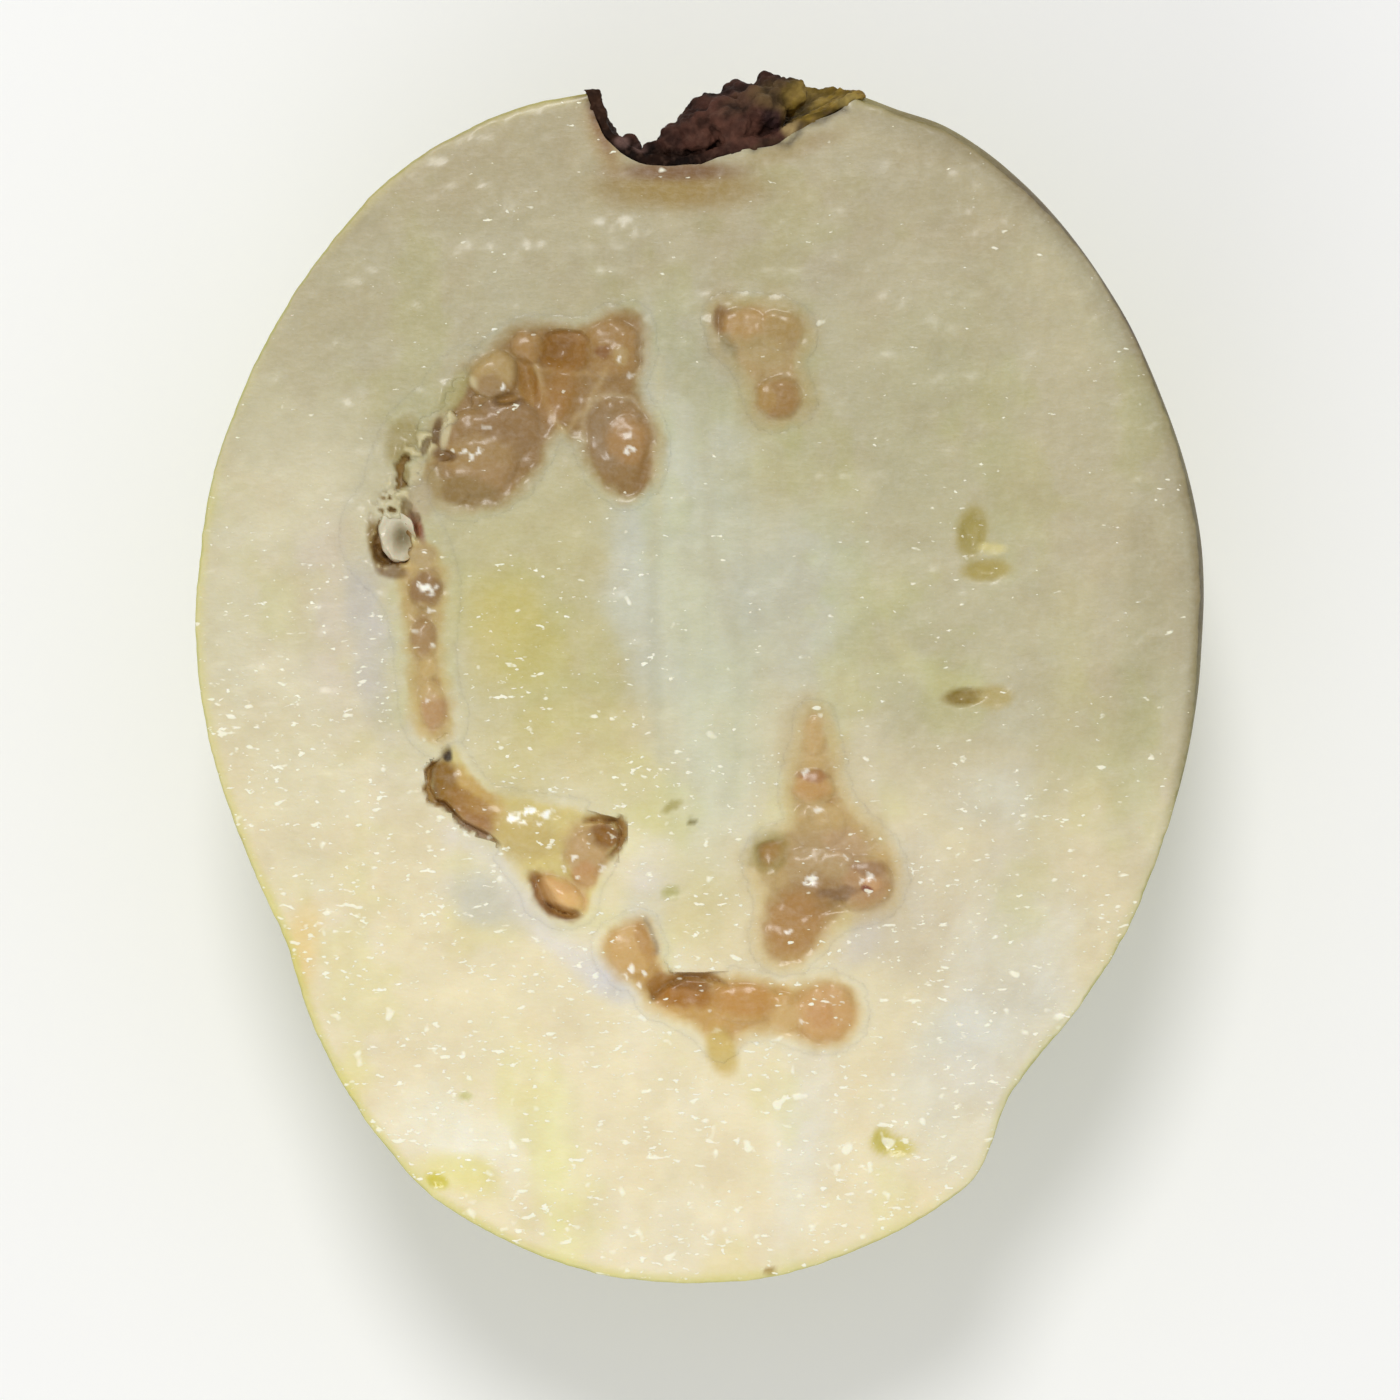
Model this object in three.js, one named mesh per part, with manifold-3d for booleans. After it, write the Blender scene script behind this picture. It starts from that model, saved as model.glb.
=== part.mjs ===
// A white-fleshed guava cut in half lengthwise. The half lies on its round back with the cut face up.
// X runs across the cut face, Y from the stem end to the calyx end, Z up from the surface it lies on.
import * as THREE from "three";
import { mergeVertices } from "three/addons/utils/BufferGeometryUtils.js";
import Module from "manifold-3d";

const wasm = await Module();
wasm.setup();

// Driving dimensions in millimetres
const CUT_HEIGHT = 36.5; // cut face above the surface that the half lies on
const BACK_DEPTH = 37.5; // cut face to the lowest point of the round back before its flat spot
const BACK_CENTRE = new THREE.Vector2(0.8, 0.6); // lowest point of the back, under the weight
const BACK_FULLNESS = 2.15; // exponent of the back's profile: 2 is an ellipse, more is plumper
const SMOOTH_HALF_WIDTH = 37.2; // half width of the smooth oval that the back runs into
const SMOOTH_HALF_LENGTH = 44.6;
const SMOOTH_TAPER = 0.07; // how much narrower the oval is toward the stem end
const SMOOTH_BELOW = 0.75; // share of the depth below which the back is the smooth oval
const CLEARANCE = 0.3; // gap between neighbouring solids
const CUTTER_WIDTH = 100; // a block wider and longer than the half
const CUTTER_BELOW = 5; // how far the block that makes the flat spot reaches below the half

// Fineness of the facets
const EDGE_STEPS = 76;
const BACK_RINGS = 11;
const POCKET_SIDES = 12;
const SEED_SIDES = 8;
const CUT_SEED_SIDES = 11;
const CALYX_EDGE_STEPS = 24;
const HOLLOW_LEVELS = [0.9, 0.65, 0.35, 0]; // rings of the calyx hollow, as shares of its depth

// Edge of the cut face, counter-clockwise from its right side, running straight over the calyx hollow
const CUT_EDGE = [
  [36.6, 2.8], [36.4, 8.8], [35.3, 14.8], [33.5, 20.8], [31.1, 26.6], [27.3, 32.2], [24.4, 35.2],
  [21.1, 38.2], [17.9, 40.5], [14.9, 41.7], [12, 42.9], [6.5, 43.9], [0, 44], [-5, 43.9],
  [-9.2, 43.3], [-13.6, 42.4], [-18.8, 40], [-23.2, 37], [-27.4, 32.4], [-31.4, 26.6],
  [-34.3, 20.6], [-36.3, 14.6], [-37.2, 8.8], [-37.5, 2.8], [-36.8, -3.1], [-35.2, -9.1],
  [-32.9, -15], [-30.9, -19.3], [-29.7, -23.2], [-28.2, -27.1], [-25.7, -31.6], [-22.9, -35.4],
  [-20.2, -38.3], [-14.5, -41.8], [-8.8, -44], [-3, -44.9], [4.2, -44.7], [8.1, -43.8],
  [13.6, -41.7], [18.4, -38.9], [20.1, -37.5], [20.9, -35.8], [22, -32.8], [23.9, -29.8],
  [26.2, -26.9], [28.6, -23.9], [32.1, -18], [35.2, -9.4], [36.4, -3],
];

// Where the back swells past the cut edge, or sinks in: direction and spread in degrees, height in mm,
// and how far down the back it reaches, as a share of the depth
const SWELLINGS = [
  { toward: 14, spread: 24, height: 2.9, reach: 1 },
  { toward: 60, spread: 17, height: 4.4, reach: 1 },
  { toward: 82, spread: 6, height: 1.2, reach: 0.8 },
  { toward: 97, spread: 7, height: -5.6, reach: 0.58 },
];

// The calyx hollow, as outlines in the cut plane, and how far each reaches down into the half
const CALYX_BOWL = {
  depth: 10,
  fullness: 2.2,
  outline: [
    [-8.4, 43.5], [-7.2, 40.2], [-4.7, 38.4], [-2.2, 38.1], [0.4, 38.3], [2.8, 39.2], [5.6, 39.6],
    [7.5, 40.8], [11, 42.6], [14, 45.4], [10, 49.5], [2, 51], [-5, 50], [-9.5, 47],
  ],
};
const CALYX_GROOVE = {
  depth: 24,
  fullness: 4,
  outline: [
    [-8.2, 43.4], [-7, 40.3], [-4.7, 38.6], [-2.4, 38.5], [-1.2, 40.1], [0.2, 42.6], [0.6, 47],
    [-3.5, 51], [-8.8, 47.5],
  ],
};
const CALYX_LINING = 0.8; // thickness of the dried skin that lines the hollow
const CALYX_OVERHANG = 0.35; // how far the lining stands past the skin round the hollow
// Dried lumps heaped on the right of the hollow: x, y, depth below the cut face, radius
const CALYX_LUMPS = [
  [-3.4, 39.2, 1.2, 0.9], [-1.9, 39.9, 1.6, 1.3], [-0.4, 40.6, 1.7, 1.8], [0.8, 42, 3.4, 1.9],
  [2.2, 41.2, 1.7, 2], [3, 43, 3.6, 1.7], [4.6, 42.4, 2, 1.9], [5.2, 43.9, 4, 1.5],
  [6.6, 43.6, 2.8, 1.4], [-5.2, 39.8, 2, 0.8],
];
const LUMP_ROUGHNESS = 0.3;

// Seed pockets. Each lobe of a pocket is x, y, half width, half length, depth and how far its pulp
// lies below the cut face. Each seed is x, y, half width, half length, turn in degrees and how far
// its top stands above the cut face.
const POCKETS = {
  seeds_upper_left: {
    lobes: [
      [-6.6, 24.3, 3.5, 2.7, 3.4, 0.7], [-10.8, 24.2, 3.4, 2.2, 4.4, 1.7], [-14.8, 22.1, 3, 2.9, 3.6, 0.8],
      [-16, 17, 4.3, 4.6, 4.2, 0.4], [-5.9, 17.9, 3.3, 4.8, 4.2, 1], [-10.3, 20, 3.7, 3.9, 3.4, 0.9],
      [-20.1, 17.5, 1.9, 2.6, 2.6, 0.9],
    ],
    seeds: [
      [-7.4, 24.3, 1.7, 1.9, 30, 0.2], [-4.9, 23.6, 1.4, 1.7, -20, 0.1], [-11.9, 24.7, 1.5, 1.4, 0, 0.1],
      [-14.7, 22.4, 1.8, 1.9, 10, 0.6], [-17.2, 17, 2, 2.5, 25, 0.3], [-14.4, 16.3, 1.8, 2, -30, 0.2],
      [-5.4, 17.7, 1.7, 2, 15, 0.5], [-17.3, 20, 1.4, 1.6, 50, 0.2],
    ],
    extra: 5,
  },
  seeds_left: {
    lobes: [
      [-20.4, 6.5, 1.7, 2.5, 2.8, 0.5], [-20.3, 2.7, 1.6, 2.7, 2.7, 0.5], [-19.9, -1.6, 1.7, 3.1, 2.8, 0.5],
    ],
    seeds: [
      [-20.4, 6.6, 1.1, 1.4, 0, 0.3], [-20.4, 3, 1.1, 1.4, 20, 0.3], [-20, -1.4, 1.1, 1.6, -10, 0.3],
    ],
    extra: 3,
  },
  seeds_lower_left: {
    lobes: [
      [-11.2, -11.6, 3.9, 2.3, 3.2, 0.6], [-7.4, -12.4, 2, 2.4, 3.6, 1.6], [-8.3, -14.5, 2.1, 2.4, 3, 0.7],
      [-10.5, -15.9, 2.6, 2.3, 3.4, 1.5],
    ],
    seeds: [
      [-10.6, -15.8, 1.7, 1.1, -25, 0.5], [-8, -14.2, 1.3, 1.5, 20, 0.2], [-12, -11.5, 1.5, 1.3, 10, 0.3],
      [-9.6, -11.9, 1.3, 1.2, 0, 0.1],
    ],
    extra: 4,
  },
  seeds_bottom: {
    lobes: [
      [-5.2, -20.6, 2.5, 2.5, 3.2, 0.6], [-3.6, -22.3, 2.3, 2.1, 3.4, 1.1], [-1.5, -23.4, 2.7, 1.7, 3.8, 1.6],
      [2.2, -24.3, 3.6, 1.9, 3.2, 0.6], [6, -24.7, 2.3, 2, 2.8, 0.6], [9.3, -24.7, 2.7, 2.6, 3.2, 0.4],
    ],
    seeds: [
      [-5.3, -20.6, 1.5, 1.8, 30, 0.2], [9.3, -24.7, 2, 1.9, 0, 0.5], [2.6, -24.3, 1.5, 1.2, 0, 0.1],
      [5.3, -24.8, 1.2, 1.3, 0, 0.1],
    ],
    extra: 4,
  },
  seeds_lower_right: {
    lobes: [
      [8.5, -4.3, 1.5, 2.4, 2.6, 0.6], [8.4, -7.9, 2.1, 2.4, 3, 0.6], [8.9, -11.3, 2.5, 2.9, 3, 0.7],
      [12.3, -15, 3.2, 3.1, 3.6, 0.4], [8.4, -15.5, 3.4, 3.2, 3.4, 0.7],
      [6.7, -19, 2.3, 2.5, 3, 0.7],
    ],
    seeds: [
      [8.3, -8, 1.3, 1.1, 20, 0.4], [12.3, -15.2, 1.9, 1.8, 0, 0.5], [8.7, -15.6, 1.6, 1.8, 30, 0.2],
      [6.7, -19.2, 1.3, 1.6, -30, 0.2], [9.1, -11.3, 1.4, 1.3, 0, 0.2],
    ],
    extra: 5,
  },
  seeds_upper_right: {
    lobes: [
      [2.9, 25.8, 2.2, 2.2, 2.9, 0.8], [5.6, 25.5, 2.5, 1.9, 2.5, 0.5], [5.1, 23, 1.8, 2.1, 2.5, 0.6],
      [5.9, 20.8, 2.1, 1.9, 2.8, 0.5],
    ],
    seeds: [
      [3.3, 25.9, 1.3, 1.4, 0, 0.1], [5.9, 25.4, 1.4, 1.2, 20, 0.1], [5.9, 20.8, 1.5, 1.4, 0, 0.2],
    ],
    extra: 2,
  },
};
const SEED_HALF_HEIGHT = 1.3;
// More seeds, placed at random: radius, and how far from the middle of their lobe, as a share of it
const EXTRA_SEED = { smallest: 0.8, largest: 1.2, nearest: 0.3, farthest: 0.65, length: 1.2, above: 0.25 };
const PULP_SPREAD = 2.2; // width of the dome that shapes the pulp, against its lobe

// The pocket of the seed that was cut through, and that seed: same numbers as a pocket's lobes
const CUT_SEED_POCKET = [[-22.5, 10.6, 2, 2.9, 2.9], [-20.9, 12.6, 1.1, 2, 2.2]];
const CUT_SEED = {
  x: -22.4, y: 10.7, halfWidth: 1.25, halfLength: 2.1, halfHeight: 1.7, turn: 12,
  middleBelow: 0.45, topBelow: 0.15, // its middle and its cut side, below the cut face
};

// Small open pockets and pits with no seed left in them: x, y, half width, half length, depth
const EMPTY_POCKETS = [
  [20.2, 11.2, 0.9, 1.7, 1.8], [21.2, 8.2, 1.2, 0.6, 1.2], [20, -1.4, 1.7, 0.5, 1.2],
  [-2.1, -9.4, 0.6, 0.4, 0.7], [0.4, -10.9, 0.4, 0.3, 0.6], [-2.2, -16.1, 0.5, 0.4, 0.7],
  [1.8, -27.6, 1.6, 1, 0.5], [14.5, -34.8, 1.4, 0.6, 0.7], [-17.5, -31, 0.7, 0.4, 0.5],
  [-18.6, -8.2, 1.6, 2.8, 3.2], [-16.6, -10.6, 2.4, 1.6, 3], [4.8, -13.2, 1.5, 1.6, 2.8],
];

// Seeded random numbers from 0 to 1
function makeRandom(seed) {
  let state = seed;
  return () => {
    state = (state * 1664525 + 1013904223) % 4294967296;
    return state / 4294967296;
  };
}

function toSolid(geometry) {
  geometry.deleteAttribute("normal");
  geometry.deleteAttribute("uv");
  const merged = mergeVertices(geometry);
  return new wasm.Manifold(new wasm.Mesh({
    numProp: 3,
    vertProperties: Float32Array.from(merged.attributes.position.array),
    triVerts: Uint32Array.from(merged.index.array),
  }));
}

function toGeometry(solid) {
  const mesh = solid.getMesh();
  const geometry = new THREE.BufferGeometry();
  geometry.setAttribute("position", new THREE.BufferAttribute(mesh.vertProperties, 3));
  geometry.setIndex(new THREE.BufferAttribute(mesh.triVerts, 1));
  return geometry;
}

function joinAll(solids) {
  return solids.reduce((whole, piece) => whole.add(piece));
}

// Clipping can leave loose scraps, which are dropped
function largestBody(solid) {
  return solid.decompose().reduce((best, body) => (body.volume() > best.volume() ? body : best));
}

// A solid from rings of points, lowest first, closed by one point below and one above
function ringSolid(rings, bottom, top) {
  const steps = rings[0].length;
  const points = [bottom, ...rings.flat(), top];
  const faces = [];
  for (let i = 0; i < steps; i++) {
    const next = (i + 1) % steps;
    faces.push(0, 1 + next, 1 + i);
    for (let r = 0; r + 1 < rings.length; r++) {
      const low = 1 + r * steps;
      const high = low + steps;
      faces.push(low + i, low + next, high + next, low + i, high + next, high + i);
    }
    const last = 1 + (rings.length - 1) * steps;
    faces.push(last + i, last + next, points.length - 1);
  }
  const geometry = new THREE.BufferGeometry();
  geometry.setFromPoints(points);
  geometry.setIndex(faces);
  return toSolid(geometry);
}

function closedOutline(points, steps) {
  const curve = new THREE.CatmullRomCurve3(
    points.map(([x, y]) => new THREE.Vector3(x, y, 0)), true, "centripetal");
  return curve.getSpacedPoints(steps).slice(0, steps);
}

// Profile of a rounded hollow or back: 1 at the cut plane and 0 at full depth
function profile(fraction, fullness) {
  return Math.pow(Math.max(0, 1 - Math.pow(fraction, fullness)), 1 / fullness);
}

// How far the back stands out in one direction, at a share of its depth
function swelling(angle, fraction) {
  return SWELLINGS.reduce((sum, { toward, spread, height, reach }) => {
    const turn = THREE.MathUtils.euclideanModulo(angle - toward + 180, 360) - 180;
    const down = Math.sin(Math.PI * Math.min(1, fraction / reach));
    return sum + height * down * Math.exp(-turn * turn / (2 * spread * spread));
  }, 0);
}

// Distance from the centre to the smooth oval, narrower toward the stem end, in one direction
function smoothRadius(angle) {
  const cos = Math.cos(angle) / (SMOOTH_HALF_WIDTH * (1 + SMOOTH_TAPER * Math.sin(angle)));
  const sin = Math.sin(angle) / SMOOTH_HALF_LENGTH;
  return 1 / Math.hypot(cos, sin);
}

// The whole half before it is hollowed: the cut edge runs down into a smooth round back
function makeWholeHalf() {
  const edge = closedOutline(CUT_EDGE, EDGE_STEPS);
  const rings = [];
  for (let r = BACK_RINGS - 1; r >= 0; r--) {
    const turn = (r / BACK_RINGS) * (Math.PI / 2);
    const fraction = Math.sin(turn);
    const shrink = profile(fraction, BACK_FULLNESS);
    const smoothing = THREE.MathUtils.smoothstep(fraction, 0, SMOOTH_BELOW);
    rings.push(edge.map((point) => {
      const fromCentre = new THREE.Vector2(point.x, point.y).sub(BACK_CENTRE);
      const angle = fromCentre.angle();
      const radius = THREE.MathUtils.lerp(fromCentre.length(), smoothRadius(angle), smoothing);
      const reach = radius * shrink + swelling(THREE.MathUtils.radToDeg(angle), fraction);
      return new THREE.Vector3(
        BACK_CENTRE.x + reach * Math.cos(angle),
        BACK_CENTRE.y + reach * Math.sin(angle),
        CUT_HEIGHT - BACK_DEPTH * fraction);
    }));
  }
  const lowest = new THREE.Vector3(BACK_CENTRE.x, BACK_CENTRE.y, CUT_HEIGHT - BACK_DEPTH);
  const middle = new THREE.Vector3(BACK_CENTRE.x, BACK_CENTRE.y, CUT_HEIGHT);
  return ringSolid(rings, lowest, middle);
}

// A block that covers the whole half between two heights
function block(low, high) {
  const box = new THREE.BoxGeometry(CUTTER_WIDTH, CUTTER_WIDTH, high - low);
  box.translate(0, 0, (low + high) / 2);
  return toSolid(box);
}

// An ellipsoid with its poles up and down
function ellipsoid(x, y, z, halfWidth, halfLength, halfHeight, turn, sides) {
  const ball = new THREE.SphereGeometry(1, sides, Math.ceil(sides / 2));
  ball.rotateX(Math.PI / 2);
  ball.scale(halfWidth, halfLength, halfHeight);
  ball.rotateZ(THREE.MathUtils.degToRad(turn));
  ball.translate(x, y, z);
  return toSolid(ball);
}

// A hollow with a free outline in the cut plane, made smaller all round by inset
function outlinedHollow({ outline, depth, fullness }, inset) {
  const edge = closedOutline(outline, CALYX_EDGE_STEPS);
  const middle = edge.reduce((sum, point) => sum.add(point), new THREE.Vector3());
  middle.divideScalar(edge.length);
  const ring = (level, side) => edge.map((point) => {
    const away = point.clone().sub(middle);
    away.setLength((away.length() - inset) * profile(level, fullness));
    return new THREE.Vector3(
      middle.x + away.x, middle.y + away.y, CUT_HEIGHT + side * (depth - inset) * level);
  });
  const below = HOLLOW_LEVELS.map((level) => ring(level, -1));
  const above = HOLLOW_LEVELS.slice(0, -1).reverse().map((level) => ring(level, 1));
  const pole = (side) => new THREE.Vector3(middle.x, middle.y, CUT_HEIGHT + side * (depth - inset));
  return ringSolid([...below, ...above], pole(-1), pole(1));
}

function calyxHollow(inset) {
  return outlinedHollow(CALYX_BOWL, inset).add(outlinedHollow(CALYX_GROOVE, inset));
}

function lobeHollow([x, y, halfWidth, halfLength, depth], inset) {
  return ellipsoid(x, y, CUT_HEIGHT, halfWidth - inset, halfLength - inset, depth - inset, 0,
    POCKET_SIDES);
}

function makeFlesh(wholeHalf) {
  const pockets = Object.values(POCKETS).flatMap((pocket) => pocket.lobes);
  const hollows = [...pockets, ...CUT_SEED_POCKET, ...EMPTY_POCKETS].map((lobe) => lobeHollow(lobe, 0));
  return wholeHalf
    .subtract(joinAll(hollows))
    .subtract(calyxHollow(0))
    .subtract(block(-CUTTER_BELOW, 0));
}

// The pulp of one lobe: its hollow, filled up to a low dome
function lobePulp(lobe) {
  const [x, y, halfWidth, halfLength, depth, below] = lobe;
  const dome = ellipsoid(x, y, CUT_HEIGHT - depth, halfWidth * PULP_SPREAD, halfLength * PULP_SPREAD,
    depth - below, 0, POCKET_SIDES);
  return lobeHollow(lobe, CLEARANCE).intersect(dome);
}

function seed([x, y, halfWidth, halfLength, turn, above]) {
  const z = CUT_HEIGHT + above - SEED_HALF_HEIGHT;
  return ellipsoid(x, y, z, halfWidth, halfLength, SEED_HALF_HEIGHT, turn, SEED_SIDES);
}

// More seeds, half sunk in the pulp, at random places in a pocket's lobes
function extraSeeds({ lobes, extra }, random) {
  return Array.from({ length: extra }, (_, i) => {
    const [x, y, halfWidth, halfLength, , below] = lobes[i % lobes.length];
    const angle = random() * 2 * Math.PI;
    const away = THREE.MathUtils.lerp(EXTRA_SEED.nearest, EXTRA_SEED.farthest, random());
    const size = THREE.MathUtils.lerp(EXTRA_SEED.smallest, EXTRA_SEED.largest, random());
    return seed([
      x + halfWidth * away * Math.cos(angle), y + halfLength * away * Math.sin(angle),
      size, size * EXTRA_SEED.length, random() * 180, EXTRA_SEED.above - below,
    ]);
  });
}

// One pocket's pulp with its seeds fused in, kept clear of the flesh
function makeSeeds(pocket, random) {
  const pulp = joinAll(pocket.lobes.map(lobePulp));
  const seeds = joinAll([...pocket.seeds.map(seed), ...extraSeeds(pocket, random)]);
  const room = joinAll(pocket.lobes.map((lobe) => lobeHollow(lobe, CLEARANCE)));
  return largestBody(pulp.add(seeds.intersect(room)));
}

function makeCutSeed() {
  const { x, y, halfWidth, halfLength, halfHeight, turn, middleBelow, topBelow } = CUT_SEED;
  const whole = ellipsoid(x, y, CUT_HEIGHT - middleBelow, halfWidth, halfLength, halfHeight, turn,
    CUT_SEED_SIDES);
  return whole.intersect(block(0, CUT_HEIGHT - topBelow));
}

// A rough dried lump
function lump([x, y, below, radius], random) {
  const ball = new THREE.IcosahedronGeometry(radius, 1);
  ball.deleteAttribute("normal");
  ball.deleteAttribute("uv");
  const merged = mergeVertices(ball);
  const place = merged.attributes.position;
  for (let i = 0; i < place.count; i++) {
    const stretch = 1 + LUMP_ROUGHNESS * (random() - 0.5);
    place.setXYZ(i, place.getX(i) * stretch, place.getY(i) * stretch, place.getZ(i) * stretch);
  }
  merged.translate(x, y, CUT_HEIGHT - below);
  return toSolid(merged);
}

// The dried calyx: a thin lining of the hollow, with lumps heaped on its right side
function makeCalyx(wholeHalf, random) {
  const grown = 1 + CALYX_OVERHANG / SMOOTH_HALF_LENGTH;
  const reach = wholeHalf.scale([grown, grown, 1]);
  const shell = calyxHollow(CLEARANCE).subtract(calyxHollow(CLEARANCE + CALYX_LINING));
  const lining = shell.intersect(reach);
  const lumps = CALYX_LUMPS.map((place) => lump(place, random));
  return largestBody(joinAll([lining, ...lumps]).intersect(calyxHollow(CLEARANCE)));
}

function finish(color, roughness) {
  return new THREE.MeshStandardMaterial({ color, roughness, metalness: 0 });
}

function addNode(group, name, solid, material) {
  const mesh = new THREE.Mesh(toGeometry(solid), material);
  mesh.name = name;
  group.add(mesh);
}

const guava = new THREE.Group();
const random = makeRandom(7);
const wholeHalf = makeWholeHalf();
addNode(guava, "flesh", makeFlesh(wholeHalf), finish(0xdcd3ac, 0.35));
addNode(guava, "calyx", makeCalyx(wholeHalf, random), finish(0x4a2e24, 0.9));
for (const [name, pocket] of Object.entries(POCKETS))
  addNode(guava, name, makeSeeds(pocket, random), finish(0xb08a5c, 0.3));
addNode(guava, "seed_white", makeCutSeed(), finish(0xe3d8b4, 0.4));

export default guava;
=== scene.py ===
"""Looks of a white-fleshed guava half that lies on its round back with its cut face up."""

import math

import bpy
import numpy as np
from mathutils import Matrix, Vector


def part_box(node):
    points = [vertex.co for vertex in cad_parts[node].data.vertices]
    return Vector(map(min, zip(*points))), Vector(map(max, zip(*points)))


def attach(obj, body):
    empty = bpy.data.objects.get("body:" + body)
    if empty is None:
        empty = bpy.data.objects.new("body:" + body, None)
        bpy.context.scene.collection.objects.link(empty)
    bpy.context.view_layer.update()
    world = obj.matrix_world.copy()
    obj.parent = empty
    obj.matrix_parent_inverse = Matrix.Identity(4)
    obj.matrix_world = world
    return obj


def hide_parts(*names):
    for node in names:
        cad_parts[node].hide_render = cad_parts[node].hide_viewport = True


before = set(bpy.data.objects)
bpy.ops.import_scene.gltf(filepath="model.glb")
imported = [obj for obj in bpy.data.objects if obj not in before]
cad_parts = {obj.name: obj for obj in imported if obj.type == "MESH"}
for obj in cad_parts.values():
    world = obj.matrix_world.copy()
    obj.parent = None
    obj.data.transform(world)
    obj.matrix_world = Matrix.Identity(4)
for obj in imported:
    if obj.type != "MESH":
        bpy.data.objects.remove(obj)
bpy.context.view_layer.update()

MM = 0.001
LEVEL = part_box("flesh")[1].z / MM  # height of the cut face, in mm
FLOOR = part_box("flesh")[0].z / MM

# The photograph's pixels as a plane laid on the cut face: shapes there are named by pixel
PIXEL_MM = 0.0743
ORIGIN_PIXEL = (700, 678)
PHOTO_SIDE = 1400
PHOTO_MIDDLE = (700, 700)
CAMERA_ABOVE = 0.45  # metres over the cut face

# The round back, as in the part's own dimensions, in mm
BACK_CENTRE = (0.8, 0.6)
BACK_DEPTH = 37.5
GRID_INSET = 0.22  # how far the cut face's grid stays inside the cut edge
CUT_EDGE = [(0.07, 1, 0.08), (0, 0.5, 0.3)]  # its rounding: inset, share of unevenness, below the face
BACK_FULLNESS = 2.15
SMOOTH_HALF_WIDTH = 37.2
SMOOTH_HALF_LENGTH = 44.6
SMOOTH_TAPER = 0.07
SMOOTH_BELOW = 0.75
SWELLINGS = [  # toward, spread, height, and how far down the back as a share of its depth
    (14, 24, 2.1, 1), (64, 12, 2.6, 1), (82, 6, 1.2, 0.8), (97, 7, -5.6, 0.58)]
EDGE_SHIFTS = [(22, 18, 0.8), (57, 8, 0.42)]  # toward, spread, how far the cut edge moves out
OVER_HOLLOW = [(12, 42.9), (6.5, 43.9), (0, 44), (-5, 43.9), (-9.2, 43.3)]
HOLLOW_ANGLES = (72.5, 103.5)
OUTER_RADIUS = 31

# The calyx hollow, in mm
CALYX_BOWL = dict(depth=10, fullness=2.2, outline=[
    (-8.4, 43.5), (-7.2, 40.2), (-4.7, 38.4), (-2.2, 38.1), (0.4, 38.3), (2.8, 39.2), (5.6, 39.6),
    (7.5, 40.8), (11, 42.6), (14, 45.4), (10, 49.5), (2, 51), (-5, 50), (-9.5, 47)])
CALYX_GROOVE = dict(depth=24, fullness=4, outline=[
    (-8.2, 43.4), (-7, 40.3), (-4.7, 38.6), (-2.4, 38.5), (-1.2, 40.1), (0.2, 42.6), (0.6, 47),
    (-3.5, 51), (-8.8, 47.5)])
CALYX_LUMPS = [  # x, y, how far below the cut face, radius
    (-3.4, 39.2, 1.2, 0.9), (-1.9, 39.9, 1.6, 1.3), (-0.4, 40.6, 1.7, 1.8), (0.8, 42, 3.4, 1.9),
    (2.2, 41.2, 1.7, 2), (3, 43, 3.6, 1.7), (4.6, 42.4, 2, 1.9), (5.2, 43.9, 4, 1.5),
    (6.6, 43.6, 2.8, 1.4), (-5.2, 39.8, 2, 0.8)]
CRUST_THICKNESS = 0.85
CRUST_STEP = 0.13  # size of the cells that the crust is made of
LINING_X = (1.5, 12)  # where the hollow's brown lining lies: middle, half width
LINING_Y = (36.5, 38.6)  # and where it begins, from none to full

# The pale cut seed, in mm
SEED_HALF_SIZE = (1.35, 1.85, 1.7)
SEED_TURN = 12
SEED_BELOW = 0.55
SEED_DENT = dict(x=0.12, y=-0.15, radius=0.5, depth=0.75, level=0.3)  # as shares of its half size

# Fineness
FACE_GRID = 262  # points along each side of the cut face's grid
BACK_RINGS = 23  # rings of points down the back
PULP_STEP = 0.13  # mm between the points of the pulp


# Numbers and noise

def smoothstep(value, low, high):
    t = np.clip((value - low) / (high - low), 0, 1)
    return t * t * (3 - 2 * t)


def mix(a, b, share):
    return a + (b - a) * share


def blend(tone, colour, share):
    """Moves the colours of points toward one colour, or each toward its own, by a share each."""
    return mix(tone, colour, share[:, None])


def value_noise(x, y, z, size, seed):
    """Smooth random numbers from -1 to 1 in space, with bumps of about that size."""
    side = 64
    table = np.random.default_rng(seed).random((side, side, side)) * 2 - 1
    parts = [np.asarray(v, float) / size + 1000 for v in (x, y, z)]
    cells = [np.floor(v).astype(int) for v in parts]
    shares = [smoothstep(v - c, 0, 1) for v, c in zip(parts, cells)]
    total = 0
    for corner in range(8):
        steps = [(corner >> axis) & 1 for axis in range(3)]
        weight = 1
        for step, share in zip(steps, shares):
            weight = weight * (share if step else 1 - share)
        i, j, k = [(c + step) % side for c, step in zip(cells, steps)]
        total = total + weight * table[i, j, k]
    return total


def flat_noise(px, py, size, seed):
    return value_noise(px, py, np.zeros_like(px), size, seed)


def shifted(px, py, reach, size, seed):
    """Points moved about by noise, for uneven edges."""
    return px + reach * flat_noise(px, py, size, seed), py + reach * flat_noise(px, py, size, seed + 1)


def rough_noise(x, y, z, size, seed, layers=3):
    """Noise in ever finer layers, from about -1 to 1."""
    total = 0
    for layer in range(layers):
        total = total + value_noise(x, y, z, size / 2 ** layer, seed + layer) / 2 ** layer
    return total / 1.5


def srgb(red, green, blue):
    """Linear colour of a screen colour."""
    c = np.array([red, green, blue]) / 255
    return np.where(c <= 0.04045, c / 12.92, ((c + 0.055) / 1.055) ** 2.4)


# The plane of the photograph

def to_pixels(x, y):
    return ORIGIN_PIXEL[0] + x / PIXEL_MM, ORIGIN_PIXEL[1] - y / PIXEL_MM


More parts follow.
